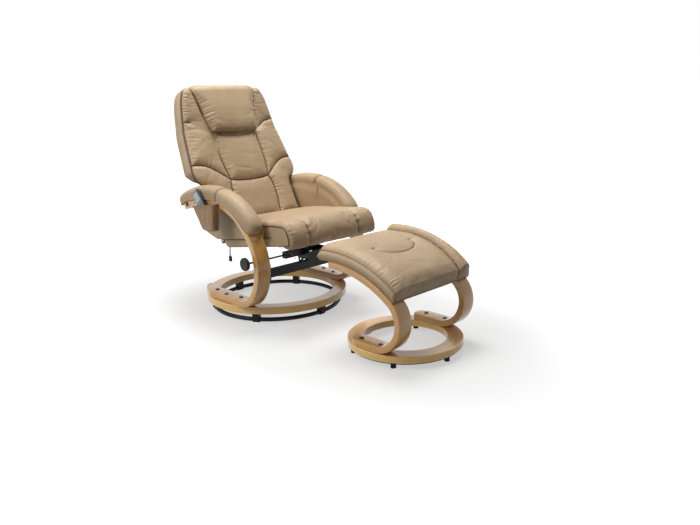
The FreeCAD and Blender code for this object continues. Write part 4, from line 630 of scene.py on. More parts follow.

# %% [markdown]
# ## The lead under the seat
# Two thin wires come out of the seat's casing and end in one connector. Each is a NURBS curve
# whose control points are the route that the CAD model used.

# %% Pigtail
WIRE_TOP = (-226, -8, 0)
WIRE_FRONT = [(0, -4.5, 0), (-0.5, -5.2, -14), (0.6, -3.4, -28), (0, -2.6, -41)]
WIRE_REAR = [(0, 5.5, 0), (0.5, 6.2, -14), (-0.6, 4.2, -28), (0, 2.6, -41)]
WIRE_RADIUS, WIRE_GAP = 1.6, 0.4
CURVE_SHARE = 0.985  # the curve cuts its corners, so it is shorter than its control line
exit_top = on_seat(*WIRE_TOP)
wire_finish = coated("wire_sleeve", (28, 28, 30), 0.42, texture=1600.0)


def pigtail_wire(name, route, node):
    """One wire as a NURBS curve, from a route in millimetres below the exit."""
    curve = bpy.data.curves.new(name, "CURVE")
    curve.dimensions = "3D"
    curve.bevel_depth = WIRE_RADIUS * MM
    curve.bevel_resolution = 4
    curve.resolution_u = 16
    curve.use_fill_caps = True
    spline = curve.splines.new("NURBS")
    spline.points.add(len(route) - 1)
    places = [exit_top + np.array(step) * MM for step in route]
    places[0] = on_seat(WIRE_TOP[0], WIRE_TOP[1] + route[0][1] * math.cos(SEAT_TILT), -WIRE_GAP)
    for point, place in zip(spline.points, places):
        point.co = (*place, 1)
    spline.order_u = 3
    spline.use_endpoint_u = True
    wire = placed(name, curve)
    dress(wire, "seat", "black_rubber", wire_finish, replaces=[node])
    length = sum(math.dist(a, b) for a, b in zip(places, places[1:])) * CURVE_SHARE
    print(name, "length", round(length, 4))


pigtail_wire("lead_front", WIRE_FRONT, "pigtail_wire_front")
pigtail_wire("lead_rear", WIRE_REAR, "pigtail_wire_rear")

# %% [markdown]
# ## Bent wood
# Each arm is one strip of wood: a straight foot on the ring, then four arcs that run into each
# other and end behind the back. A bent curve with a bevel would do, but its UVs and its square
# section are hard to control. `BentStrip` knows the place and direction at any turn of the strip,
# and `bent_piece` sweeps a rounded rectangle through them.

# %% A bent strip
class BentStrip:
    """Arcs of the outer face, from the foot to the tip, as radius and turn in degrees."""

    def __init__(self, front, base, bends):
        self.arcs, self.turned = [], 0.0
        y, z = front, base
        for radius, turn in bends:
            out_y, out_z = self.outward(self.turned)
            middle = (y - out_y * radius, z - out_z * radius)
            self.arcs.append((middle, radius, self.turned, self.turned + turn))
            self.turned += turn
            out_y, out_z = self.outward(self.turned)
            y, z = middle[0] + out_y * radius, middle[1] + out_z * radius

    @staticmethod
    def outward(turned):
        return -math.sin(math.radians(turned)), -math.cos(math.radians(turned))

    def place(self, turned, offset=0.0, ahead=0.0):
        """The (y, z) place after a turn, moved outwards, and ahead along the strip."""
        middle, radius = next(((m, r) for m, r, low, high in self.arcs if turned <= high + 1e-9),
                              self.arcs[-1][:2])
        out_y, out_z = self.outward(turned)
        return (middle[0] + out_y * (radius + offset) + out_z * ahead,
                middle[1] + out_z * (radius + offset) - out_y * ahead)


ARM_BENDS = [(136, 55), (223, 61), (310, 49.3), (452, 41.2)]
LEG_BENDS = [(133, 71.6), (114, 74.3), (524, 36.8)]
ARM_CENTRE, ARM_WIDTH, ARM_THICKNESS = 283, 68, 29
FOOT_FRONT, FOOT_REAR, RING_TOP, RING_OUTER = 131.4, 190, 78, 330
LEG_CENTRE, LEG_WIDTH, LEG_THICKNESS = 192, 68, 26
LEG_FOOT_FRONT, LEG_FOOT_REAR, STOOL_TOP, STOOL_RING_OUTER = 37, 98, 51.8, 233
arm_strip = BentStrip(-FOOT_FRONT, RING_TOP, ARM_BENDS)
leg_strip = BentStrip(-LEG_FOOT_FRONT, STOOL_TOP, LEG_BENDS)
print("arm turns", round(arm_strip.turned, 1), "leg turns", round(leg_strip.turned, 1))

# %% [markdown]
# The section is a rectangle with rounded corners, and its narrow sides get the edge finish. On
# the ring, the foot's outer side follows the ring's rim, and its heel has rounded corners.

# %% Section and foot
def rounded_rectangle(half_width, thickness, radius, steps=3):
    """(across, depth) points round the strip, and whether each is on a narrow side."""
    points, sides = [], []
    out, low = half_width - radius, radius - thickness
    for number, (across, depth) in enumerate(((out, -radius), (out, low), (-out, low), (-out, -radius))):
        for step in range(steps + 1):
            angle = math.radians(90 - 90 * number - 90 * step / steps)
            points.append((across + radius * math.cos(angle), depth + radius * math.sin(angle)))
            sides.append(number in (0, 2) and step == steps)
    return points, sides


def corner_cut(from_heel, radius):
    """How far a rounded corner stands back from the side, at a distance from the heel."""
    return radius - math.sqrt(max(0.0, radius ** 2 - max(0.0, radius - from_heel) ** 2))


def foot_sides(foot_y, heel, centre, width, ring_outer, corners):
    """How far the foot reaches inwards and outwards from its middle, at one place along it."""
    inner = width / 2 - corner_cut(heel - foot_y, corners[0])
    outer = width / 2
    if foot_y > 0:
        outer = min(outer, math.sqrt(ring_outer ** 2 - foot_y ** 2) - centre)
    return inner, outer - corner_cut(heel - foot_y, corners[1])


print("points round a section", len(rounded_rectangle(34, 29, 3)[0]))

# %% [markdown]
# The section is now carried from the heel along the foot and through every bend to the tip. At
# both ends one more, smaller section rounds the edge.

# %% Arms and legs
WOOD_ROUND, END_STEP = 3.0, 0.35
FOOT_STATIONS, STATIONS_PER_DEGREE = 34, 0.75


def bent_piece(name, strip, side, centre, width, thickness, heel, base, ring_outer, corners,
               origin=(0, 0)):
    """The whole strip with its foot, from the heel to the tip."""
    outline, narrow_sides = rounded_rectangle(width / 2, thickness, WOOD_ROUND)
    front = strip.arcs[0][0][0]
    rows = [(lambda off, y=y: (y, base - off), y, 0.0)
            for y in heel + (front - heel) * np.linspace(0, 1, FOOT_STATIONS, endpoint=False) ** 2]
    rows += [(lambda off, t=turned: strip.place(t, off), None, 0.0)
             for turned in np.linspace(0, strip.turned, int(strip.turned * STATIONS_PER_DEGREE))]
    rows = [(*rows[0][:2], WOOD_ROUND), *rows, (*rows[-1][:2], WOOD_ROUND)]
    points, uvs, run, before = [], [], 0.0, None
    for number, (place, foot_y, inset) in enumerate(rows):
        middle = np.array(place(-thickness / 2))
        run += 0.0 if before is None else float(np.linalg.norm(middle - before))
        before = middle
        inner, outer = width / 2, width / 2
        if foot_y is not None:
            inner, outer = foot_sides(foot_y, heel, centre, width, ring_outer, corners)
        girth = 0.0
        for index, (across, depth) in enumerate(outline):
            if inset:
                across *= 1 - inset / (width / 2)
                depth = -thickness / 2 + (depth + thickness / 2) * (1 - 2 * inset / thickness)
            across = -inner + (across + width / 2) / width * (outer + inner)
            y, z = place(depth)
            if inset:
                out_y, out_z = strip.outward(strip.turned if number else 0.0)
                step = END_STEP * inset * (1 if number else -1)
                y, z = y + out_z * step, z - out_y * step
            points.append(chair(origin[0] + side * (centre + across), origin[1] + y, z))
            girth += math.dist(outline[max(0, index - 1)], outline[index])
            uvs.append((run * MM, girth * MM))
    kinds = [int(narrow) for row in range(len(rows) - 1) for narrow in narrow_sides] + [1, 1]
    return outwards(mesh_piece(name, points, tube_faces(len(rows), len(outline)), uvs, kinds))


for label, side in (("right", -1), ("left", 1)):
    arm = bent_piece("bent_arm_" + label, arm_strip, side, ARM_CENTRE, ARM_WIDTH, ARM_THICKNESS,
                     FOOT_REAR, RING_TOP, RING_OUTER, (16, 30))
    dress(arm, "chair_frame", "beech", beech_face, beech_edge, replaces=["arm_" + label])
    leg = bent_piece("bent_leg_" + label, leg_strip, side, LEG_CENTRE, LEG_WIDTH, LEG_THICKNESS,
                     LEG_FOOT_REAR, STOOL_TOP, STOOL_RING_OUTER, (14, 14), (OTTOMAN_X, OTTOMAN_Y))
    dress(leg, "ottoman", "beech", beech_face, beech_edge, replaces=["ottoman_leg_" + label])
    print(label, "arm faces", len(arm.data.polygons), "leg faces", len(leg.data.polygons))

# %% [markdown]
# ## Sewn panels
# A cushion cover is cut from flat panels, and each swells between its seams. Here a panel is a
# Coons patch: four smooth boundary lines, filled in between. Its height grows from the seams like
# a quarter of an ellipse, so that two neighbours meet in a narrow valley. Near a seam the thread
# gathers the leather into short folds that run away from it.

# %% Panel surface
POINTS_AT_ONCE = 4000


def patch(bottom, right, top, left, rows, columns):
    """A Coons patch. bottom and top run left to right, left and right run upwards."""
    bottom, top = smooth_line(bottom, columns), smooth_line(top, columns)
    left, right = smooth_line(left, rows), smooth_line(right, rows)
    u = np.linspace(0, 1, columns)[None, :, None]
    v = np.linspace(0, 1, rows)[:, None, None]
    ruled = (1 - v) * bottom[None] + v * top[None] + (1 - u) * left[:, None] + u * right[:, None]
    corners = ((1 - u) * (1 - v) * bottom[0] + u * (1 - v) * bottom[-1]
               + (1 - u) * v * top[0] + u * v * top[-1])
    return ruled - corners


def rim_of(grid):
    """The points round a grid, as one closed run."""
    return np.concatenate([grid[0, :-1], grid[:-1, -1], grid[-1, :0:-1], grid[:0:-1, 0]])


def rim_distance(grid, rim):
    """How far each point is from the rim, and how far round the rim its nearest point is."""
    fine = even(np.vstack([rim, rim[:1]])[:, :2], 6 * len(rim))
    flat = grid[..., :2].reshape(-1, 2)
    nearest, distance = np.empty(len(flat), dtype=int), np.empty(len(flat))
    for start in range(0, len(flat), POINTS_AT_ONCE):
        part = slice(start, start + POINTS_AT_ONCE)
        gaps = ((flat[part, None] - fine[None]) ** 2).sum(-1)
        nearest[part], distance[part] = gaps.argmin(1), np.sqrt(gaps.min(1))
    run = run_length(fine)
    return distance.reshape(grid.shape[:2]), run[nearest].reshape(grid.shape[:2]), run[-1]


def ripple(along, whole, wave, seed):
    """A smooth random wave round a closed rim, between about -1 and 1."""
    draw = random.Random(seed)
    total = np.zeros_like(along)
    turns = max(3, int(whole / wave))
    for number in range(6):
        count = max(2, int(turns * draw.uniform(0.55, 1.25)))
        total += np.sin(2 * math.pi * count * along / whole + draw.uniform(0, 6.28)) / 2.4
    return total


def swollen(distance, edge, fullness=2.2):
    """0 at a seam, rising like an ellipse to 1 at a distance of edge."""
    share = np.clip(distance / edge, 0, 1)
    return (1 - (1 - share) ** fullness) ** (1 / fullness)


def bell(distance, reach, power=2):
    """1 at a line, falling smoothly to 0 beyond its reach."""
    return np.exp(-(distance / reach) ** power)


print("a seam's bell at its reach", round(float(bell(1, 1)), 3))

# %% [markdown]
# Real covers also buckle: the leather is cut a little larger than the foam under it, so soft
# folds form where it is loose. Blender's cloth simulation makes them. `blown` pins a sheet at its
# seams, lets it be slightly too large, and blows it up a little.

# %% Cloth
CLOTH_FRAMES = 10
CLOTH_RULES = {"quality": 4, "mass": 0.35, "tension_stiffness": 15.0,
               "compression_stiffness": 15.0, "shear_stiffness": 15.0, "bending_stiffness": 0.6,
               "air_damping": 3, "use_pressure": True, "uniform_pressure_force": 5.0,
               "vertex_group_mass": "pinned"}


def corners_of(mesh):
    return np.array([tuple(vertex.co) for vertex in mesh.vertices])


def blown(sheet, pinned, larger):
    """How far the cloth moves each point. pinned holds a weight from 0 to 1 for each."""
    group = sheet.vertex_groups.new(name="pinned")
    for index, weight in enumerate(pinned):
        if weight > 0.001:
            group.add([index], float(min(1.0, weight)), "REPLACE")
    cloth = sheet.modifiers.new("settle", "CLOTH")
    for label, value in CLOTH_RULES.items():
        setattr(cloth.settings, label, value)
    cloth.settings.shrink_min = -larger
    cloth.settings.effector_weights.gravity = 0
    cloth.collision_settings.use_collision = False
    cloth.collision_settings.use_self_collision = False
    cloth.point_cache.frame_start, cloth.point_cache.frame_end = 1, CLOTH_FRAMES
    for number in range(1, CLOTH_FRAMES + 1):
        bpy.context.scene.frame_set(number)
    result = sheet.evaluated_get(bpy.context.evaluated_depsgraph_get())
    step = corners_of(result.to_mesh()) - corners_of(sheet.data)
    result.to_mesh_clear()
    sheet.modifiers.remove(cloth)
    bpy.context.scene.frame_set(1)
    return step


print("cloth is", "on")

# %% [markdown]
# `clothed` blows up every second point of a panel's grid, which is faster and keeps the folds
# wide. The cap on how far a point may move keeps the panel clear of its neighbours.

# %% Cloth of a panel
CLOTH_STEP = 2


def between(values, picked, count):
    """Values at every place, from those at the picked ones."""
    return np.array([np.interp(np.arange(count), picked, line) for line in values])


def clothed(name, skin, rows, columns, pinned, outward, swell, cap, larger):
    """Moves a panel's points as its cloth moves, by a share called swell and up to a cap."""
    grid = np.asarray(skin).reshape(rows, columns, 3)
    picked_rows = np.unique(np.append(np.arange(0, rows, CLOTH_STEP), rows - 1))
    picked_columns = np.unique(np.append(np.arange(0, columns, CLOTH_STEP), columns - 1))
    picked = np.ix_(picked_rows, picked_columns)
    coarse = grid[picked]
    faces = grid_faces(*coarse.shape[:2])
    corner = coarse.reshape(-1, 3)[list(faces[len(faces) // 2])]
    if np.cross(corner[1] - corner[0], corner[2] - corner[0]).dot(outward) < 0:
        faces = [face[::-1] for face in faces]
    sheet = mesh_piece(name + "_cloth", coarse.reshape(-1, 3), faces)
    step = blown(sheet, np.asarray(pinned).reshape(rows, columns)[picked].ravel(), larger)
    bpy.data.objects.remove(sheet)
    length = np.linalg.norm(step, axis=1)[:, None]
    step *= np.where(length > cap * MM, cap * MM / np.maximum(length, 1e-9), 1.0) * swell
    print(name, "cloth moved", round(float(np.linalg.norm(step, axis=1).max() / MM), 1), "mm at most")
    moved = np.zeros_like(grid)
    for k, wide in enumerate(np.moveaxis(step.reshape(coarse.shape), -1, 0)):
        moved[..., k] = between(between(wide, picked_columns, columns).T, picked_rows, rows).T
    for axis in (0, 1):
        line = np.moveaxis(moved, axis, 0)
        line[1:-1] = (line[1:-1] * 2 + line[2:] + line[:-2]) / 4
    return (grid + moved).reshape(-1, 3)


def seam_shade_attribute(piece, values):
    """Marks how near a seam each point is, for the painted shade that darkens the leather there."""
    layer = piece.data.attributes.new("seam", "FLOAT", "POINT")
    layer.data.foreach_set("value", np.asarray(values, dtype=np.float32))


print("every point" if CLOTH_STEP == 1 else f"one point in {CLOTH_STEP}", "moves as cloth")

# %% [markdown]
# `panel` brings these together. A side of a panel is a list of places along its seam: across, up
# and how far the seam stands above the foam. The surface is pressed out from there, folds and
# creases are added, and a flat foot closes the solid.

# %% A whole panel
SEAM_SHADE_REACH, POINT_SPACING, LEAST_POINTS = 2.2, 3.7, 12
PINNED_RIM, PIN_FADE = 2.0, 7.0


def points_along(*lines):
    """How many points the longest of some lines needs."""
    longest = max(run_length(smooth_line(line, 40))[-1] for line in lines)
    return max(LEAST_POINTS, int(longest / POINT_SPACING))


def creased(across, upwards, creases):
    """The depth of some creases. Each runs between two places, and has a depth and a width."""
    total = 0.0
    for (x0, y0), (x1, y1), depth, width in creases:
        run = np.array([x1 - x0, y1 - y0], dtype=float)
        share = np.clip(((across - x0) * run[0] + (upwards - y0) * run[1]) / run.dot(run), 0, 1)
        gap = np.hypot(across - x0 - share * run[0], upwards - y0 - share * run[1])
        total = total + depth * bell(gap, width) * np.sin(math.pi * np.clip(share, 0.08, 0.92))
    return total


def panel(name, sides, height, edge, place, crown, gathers, wave, gather_reach=18.0,
          creases=(), seed=1, foot=-0.3, cloth=0.5, cap=9.0, larger=0.018, sag=0.0):
    """sides: bottom, right, top, left. place turns (across, height, up) into metres."""
    bottom, right, top, left = sides
    columns, rows = points_along(bottom, top), points_along(left, right)
    grid = patch(bottom, right, top, left, rows, columns)
    rim = rim_of(grid)
    distance, along, whole = rim_distance(grid, rim)
    u, v = np.linspace(0, 1, columns)[None, :], np.linspace(0, 1, rows)[:, None]
    across, upwards = grid[..., 0], grid[..., 1]
    height, edge, gathers = (value(across, upwards) if callable(value) else value
                             for value in (height, edge, gathers))
    rise = swollen(distance, edge)
    up = grid[..., 2] + (height - grid[..., 2]) * rise
    up += crown * 16 * u * (1 - u) * v * (1 - v)
    folds = ripple(along, whole, wave, seed) * np.exp(-distance / gather_reach)
    up += gathers * folds * np.clip(distance / 3.0, 0, 1)
    up -= creased(across, upwards, creases)
    lowered = upwards - sag * rise * np.exp(-(upwards - upwards.min()) / 48)
    skin = place(across, up, lowered).reshape(-1, 3)
    outward = np.ravel(place(across[:1, :1], up[:1, :1] + 10, upwards[:1, :1])
                       - place(across[:1, :1], up[:1, :1], upwards[:1, :1]))
    pinned = np.clip(1 - (distance.ravel() - PINNED_RIM) / PIN_FADE, 0, 1)
    skin = clothed(name, skin, rows, columns, pinned, outward, cloth, cap, larger)
    ring = rim_of(np.arange(rows * columns).reshape(rows, columns))
    base = range(rows * columns, rows * columns + len(ring))
    points = np.vstack([skin, place(rim[:, 0], np.full(len(rim), foot), rim[:, 1])])
    faces = grid_faces(rows, columns) + band_between(ring, base) + [tuple(base)]
    uvs = np.vstack([grid[..., :2].reshape(-1, 2), rim[:, :2]]) * MM
    piece = mesh_piece(name, points, faces, uvs)
    shade = bell(distance.ravel(), SEAM_SHADE_REACH)
    seam_shade_attribute(piece, np.concatenate([shade, np.ones(len(ring))]))
    return outwards(piece)


print("panel builder ready")

# %% [markdown]
# ## The back
# The back's front is a net of curved seams: a headrest, a long centre panel, an upper and a lower
# side panel, a crown panel beside the headrest, and the lumbar panels below. All of them share
# the same seam lines, so each line is named once. Places are (across, up, height of the seam).

# %% Seam lines of the back
SEAM = 9.0
HEAD_TOP, CROWN_CORNER = (188, 478, 4), (214, 447, 1)
head_corner, waist_corner = (126, 243, SEAM), (108, 1, SEAM)
upper_rim, lower_rim, wing_foot = (252, 298, 1), (281, 90, 1), (264, -2, 1)
head_side = [head_corner, (143, 295, SEAM), (153, 354, SEAM), (170, 418, SEAM), HEAD_TOP]
head_foot = [head_corner, (60, 237.5, SEAM), (0, 236, SEAM)]
head_top = [(-188, 478, 4), (-100, 487, 4), (0, 489, 4), (100, 487, 4), HEAD_TOP]
centre_side = [waist_corner, (117, 48, SEAM), (122, 100, SEAM), (123, 150, SEAM), (122, 200, SEAM),
               head_corner]
centre_foot = [waist_corner, (60, -6, SEAM), (0, -9, SEAM)]
upper_seam = [head_corner, (155, 262, SEAM), (190, 284, SEAM - 1), (225, 295, SEAM - 4), upper_rim]
lower_seam = [waist_corner, (135, 24, SEAM), (163, 47, SEAM), (205, 75, SEAM - 1),
              (245, 87, SEAM - 4), lower_rim]
rim_middle = [lower_rim, (276, 130, 1), (270, 180, 1), (264, 226, 1), upper_rim]
rim_crown = [upper_rim, (246, 340, 1), (238, 383, 1), (228, 418, 1), CROWN_CORNER]
rim_top = [CROWN_CORNER, (203, 466, 2), HEAD_TOP]
LUMBAR_FOOT, LUMBAR_HALF = -198, 226
lumbar_inner = [(104, LUMBAR_FOOT, 4), (117, -124, SEAM), (121, -66, SEAM), (117, -28, SEAM),
                waist_corner]
lumbar_rim = [(LUMBAR_HALF, LUMBAR_FOOT, 2), (LUMBAR_HALF, -120, 1), (LUMBAR_HALF + 1, -50, 1),
              (238, -20, 1), wing_foot, (283, 28, 1), (286, 60, 1), lower_rim]
print("seam lines ready")

# %% [markdown]
# The lines are drawn for the sitter's left and mirrored for the right. `back_skin` lays a place on
# the foam's front and bends it over the round top edge, as the leather of the headrest goes.

# %% Mirrored lines and the back's skin
FOAM_FRONT, TOP_TURN_START, TOP_TURN_RADIUS = 3.7, 429, 20


def on_side(line, side):
    return [(side * across, up, height) for across, up, height in line]


def both_sides(line):
    """A line that runs from a corner in to the middle, carried on to the other corner."""
    return on_side(line, -1) + on_side(line[-2::-1], 1)


def back_skin(across, height, up):
    """On the foam's front, and round the top edge of the back for places further up."""
    up, height = np.asarray(up, dtype=float), np.asarray(height, dtype=float)
    turn = np.clip((up - TOP_TURN_START) / TOP_TURN_RADIUS, 0, math.pi / 2)
    beyond = np.maximum(0, up - TOP_TURN_START - TOP_TURN_RADIUS * math.pi / 2)
    reach = TOP_TURN_RADIUS + height
    depth = FOAM_FRONT + TOP_TURN_RADIUS - reach * np.cos(turn) + beyond
    rise = np.minimum(up, TOP_TURN_START) + reach * np.sin(turn)
    return on_back(across, depth, rise)


print("back skin ready")

# %% [markdown]
# Now the panels themselves. The headrest is the fullest: it bulges over its lower seam and wraps
# round the top of the back. Its side seams gather the leather strongly. The long centre panel has
# two soft creases where the sitter leans.

# %% Headrest and centre panel
head_line, centre_line = both_sides(head_foot), both_sides(centre_foot)
headrest = panel(
    "headrest", (head_line, head_side, head_top, on_side(head_side, -1)),
    height=lambda across, up: np.interp(up, [236, 290, 350, 440, 489], [54, 52, 44, 28, 23]),
    edge=lambda across, up: np.interp(up, [236, 262, 330], [22, 34, 52]),
    gathers=lambda across, up: 0.3 + 2.9 * bell(up - 345, 62),
    place=back_skin, crown=3, gather_reach=24, wave=15, seed=11, sag=12,
    creases=[((-120, 300), (-60, 282), 1.5, 9), ((122, 330), (70, 300), 1.2, 9)], cap=6)
cushion(headrest, "back", tan_leather, ["headrest_pillow"])
centre_panel = panel(
    "centre_panel", (centre_line, centre_side, head_line, on_side(centre_side, -1)),
    height=23, edge=34, place=back_skin, crown=3.5, gathers=1.1, gather_reach=16, wave=15, seed=12,
    creases=[((-70, 60), (40, 34), 2.0, 8), ((-20, 128), (70, 108), 1.4, 9)])
cushion(centre_panel, "back", tan_leather, ["centre_pad"])
print("headrest faces", len(headrest.data.polygons), "centre", len(centre_panel.data.polygons))

# %% [markdown]
# The side, crown and lumbar panels come in pairs. One function makes a panel of a pair from the
# lines of the left one, mirrored where needed, and every panel gets its own seed so that no two
# fold alike.

# %% Side panels of the back
def paired(name, side, bottom, outer, top, inner, **shape):
    """A panel whose lines are named for the sitter's left side, or its mirror image."""
    bottom, outer, top, inner = (on_side(line, side) for line in (bottom, outer, top, inner))
    lines = (bottom, outer, top, inner) if side > 0 else (bottom[::-1], inner, top[::-1], outer)
    return panel(name, lines, place=back_skin, **shape)


SIDE_CREASES = {1: [((225, 120), (165, 190), 1.3, 9)], -1: [((-230, 160), (-165, 215), 1.3, 9)]}
LUMBAR_SHAPE = {"height": 20, "crown": 2, "gathers": 1.1, "wave": 14, "cap": 7}
lumbar_feet = [(104, LUMBAR_FOOT, 4), (165, LUMBAR_FOOT, 3), (LUMBAR_HALF, LUMBAR_FOOT, 2)]
wing_pieces, lumbar_pieces = [], []
for label, side in (("right", -1), ("left", 1)):
    wing_pieces.append(paired(
        "side_panel_" + label, side, lower_seam, rim_middle, upper_seam, centre_side, height=22,
        edge=40, crown=3, gathers=1.0, wave=15, seed=20 + side, creases=SIDE_CREASES[side]))
    wing_pieces.append(paired(
        "crown_panel_" + label, side, upper_seam, rim_crown, rim_top[::-1], head_side, height=17,
        edge=30, crown=2, gathers=1.2, wave=12, seed=30 + side, cap=6))
    lumbar_pieces.append(paired("lumbar_side_" + label, side, lumbar_feet, lumbar_rim, lower_seam,
                                lumbar_inner, edge=36, seed=40 + side, **LUMBAR_SHAPE))
middle_feet = [(-104, LUMBAR_FOOT, 4), (0, LUMBAR_FOOT, 4), (104, LUMBAR_FOOT, 4)]
lumbar_pieces.append(panel(
    "lumbar_middle", (middle_feet, lumbar_inner, centre_line, on_side(lumbar_inner, -1)), edge=34,
    place=back_skin, seed=43, **LUMBAR_SHAPE))
for piece in wing_pieces + lumbar_pieces:
    cushion(piece, "back", tan_leather)
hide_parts("wing_pads")
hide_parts("lumbar_pad")
print("side panels", [piece.name for piece in wing_pieces + lumbar_pieces])

# %% [markdown]
# ## The back's shell
# Behind the panels, the foam core and the rear shell are covered as one: a side band about 55 mm
# deep runs round the back, and a flat rear panel closes it. LEVELS are outlines of that form at
# growing depth. The band swells outwards, so the outline is widest halfway.

# %% Outline of the back
SHELL_HALF = LUMBAR_HALF + 3
UPPER_RIM = [(283, 66), (281, 90), (276, 130), (270, 180), (264, 226), (252, 298), (246, 340),
             (238, 383), (228, 418)]


def closed_outline(grow, depth, foot):
    """The outline of the back at one depth, anticlockwise from the right foot corner."""
    wing, top = 28 + 0.24 * (depth - 4), grow * 0.3
    controls = [(SHELL_HALF, wing - 30), (236 + grow * 0.4, wing - 16),
                (258 + grow * 0.7, wing - 3), (277 + grow, wing + 18)]
    controls += [(x + grow, up) for x, up in UPPER_RIM]
    controls += [(212 + grow * 0.8, 445 + top), (186 + grow * 0.5, 457 + top), (140, 460 + top),
                 (70, 461 + top), (0, 461.5 + top)]
    half = smooth_line(controls, 120)
    side = np.vstack([smooth_line([(SHELL_HALF, foot), half[0]], 30)[:-1], half])
    foot_line = smooth_line([(-SHELL_HALF, foot), (SHELL_HALF, foot)], 40)
    return np.vstack([side, (side * [-1, 1])[-2::-1], foot_line[1:-1]])


LEVELS = [(4.2, -16, -200), (4.2, -3, -202), (7, 2, -206), (14, 8, -214), (24, 13, -224),
          (36, 15, -230), (46, 13, -231), (53, 7, -231), (57, -1, -229), (58.3, -12, -222)]
REAR_DEPTH = 58.3
hoops = [(depth, closed_outline(grow, depth, foot)) for depth, grow, foot in LEVELS]
rear_heart = np.array([0, 120])
for share in (0.86, 0.66, 0.42, 0.16):
    puff = 2.4 * math.sin(math.pi * min(1, (1 - share) * 1.4))
    hoops.append((REAR_DEPTH + puff, rear_heart + (hoops[len(LEVELS) - 1][1] - rear_heart) * share))
columns = len(hoops[0][1])
points = [on_back(hoop[:, 0], depth, hoop[:, 1]) for depth, hoop in hoops]
uvs = [(column * 5.0 * MM, row * 8.0 * MM) for row in range(len(hoops)) for column in range(columns)]
back_cover = outwards(mesh_piece("back_cover", np.vstack(points), tube_faces(len(hoops), columns), uvs))
cushion(back_cover, "back", tan_leather, ["back_core", "back_shell"])
print("back cover points", len(back_cover.data.vertices))

# %% [markdown]
# Piping runs round the front edge of the back, in the darkest shade leather, and a second one joins
# the side band to the rear panel. A dark cord also lies in each sewn seam of the front: it is painted
# shade, for the shadow in the seam's valley.

# %% Piping of the back
rim_right = smooth_line(lumbar_rim + rim_middle[1:] + rim_crown[1:] + rim_top[1:], 260)
front_rim = [back_skin(rim[:, 0] + np.sign(rim[:, 0]) * 1.5, 1.5, rim[:, 1])
             for rim in (rim_right, rim_right * [-1, 1, 1])]
top_line = smooth_line(head_top, 90)
front_rim.append(back_skin(top_line[:, 0], 2.5, top_line[:, 1]))
rear_ring = closed_outline(9, 52, -229)
piped("back_piping", front_rim, 2.9, "back", shade_piping)
piped("rear_piping", [on_back(rear_ring[:, 0], 54.0, rear_ring[:, 1])], 2.3, "back",
      piping_leather, closed=True)
SIDE_SEAM_RISE, LEVEL_SEAM_RISE = 4.2, 1.2
seams = [(smooth_line(on_side(line, side), 90)[2:-2], SIDE_SEAM_RISE)
         for line in (upper_seam, lower_seam, head_side, centre_side, lumbar_inner)
         for side in (-1, 1)]
seams += [(smooth_line(line, 120), LEVEL_SEAM_RISE) for line in (head_line, centre_line)]
piped("back_seam_shade_cord", [back_skin(run[:, 0], run[:, 2] + rise, run[:, 1]) for run, rise in seams],
      1.5, "back", shade_piping, 6)

# %% [markdown]
# ## Arm pads
# A pad sits on each arm like a long loaf: flat on the wood, full at the sides, crowned on top, and
# gathered at its front end. The cross seam lies a third of the way from the rear. Its sections are
# swept along the arm's own arcs, so that the pad lies on the wood everywhere.

# %% Arm pad sections
PAD_HALF, PAD_HEIGHT, PAD_GAP, PAD_LAP = 39, 51, 0.3, 6.0
PAD_START, PAD_TAIL, PAD_SEAM_TURN, PAD_SEAM_DEPTH = 126.5, 34, 172, 0.050
PAD_ENDS = [(0, 0.30), (0.35, 0.50), (0.9, 0.63), (1.7, 0.75), (2.8, 0.85), (4.2, 0.92), (6.0, 0.97),
            (9, 1.0), (60, 1.0), (80, 0.96)]
TAIL_ENDS = [(0, 0.96), (0.45, 0.93), (0.72, 0.86), (0.88, 0.75), (0.96, 0.62), (1.0, 0.45)]
pad_turns = np.concatenate([PAD_START + np.array([turn for turn, share in PAD_ENDS[:7]]),
                            np.linspace(134, arm_strip.turned, 74)])


def pad_lap(turned):
    """How far the pad hangs down beside the wood, at one place along the arm."""
    return float(PAD_LAP * np.clip((turned - PAD_START - 1.0) / 7, 0, 1)
                 * np.clip((204 - turned) / 8, 0, 1))


def pad_share(turned):
    return np.interp(turned - PAD_START, *zip(*PAD_ENDS))


def pad_ring(share, pucker, seam, drop):
    """Places across and up round a section, from the wood's right edge over the top."""
    angles = np.linspace(0, math.pi, 45)
    half, height = PAD_HALF * share, PAD_HEIGHT * share
    across = half * np.sign(np.cos(angles)) * np.abs(np.cos(angles)) ** 0.72
    up = 0.30 * height + 0.70 * height * np.sin(angles) ** 0.80
    under = np.linspace(0.30, 0, 7)[1:]
    across = np.concatenate([np.full(6, half), across, np.full(6, -half)])
    up = np.concatenate([height * under[::-1], up, height * under])
    ripples = 1 + pucker * np.sin(np.linspace(0, 1, len(up)) * math.pi * 21 + 0.7)
    across, up = across * (1 - seam) * ripples, PAD_GAP + (up * (1 - seam * 1.2)) * ripples
    lap_up, lap_share = np.array([(PAD_GAP, 1.0), (-0.5 * drop, 1.0), (-0.85 * drop, 0.99),
                                  (-drop, 0.965), (-0.8 * drop, 0.93), (PAD_GAP, 0.93)]).T
    lap_half = abs(across[0]) * lap_share
    if drop > 0:
        lap_half = np.maximum(lap_half, ARM_WIDTH / 2 + 0.5)
    return (np.concatenate([lap_half[::-1], across, -lap_half]),
            np.concatenate([lap_up[::-1], up, lap_up]))


print("pad sections", len(pad_turns) + len(TAIL_ENDS) - 1)

# %% [markdown]
# Each section takes its size from where it is along the arm. The pad's foot laps over the wood's
# edges by a few millimetres, and a line of piping closes it on the outside.

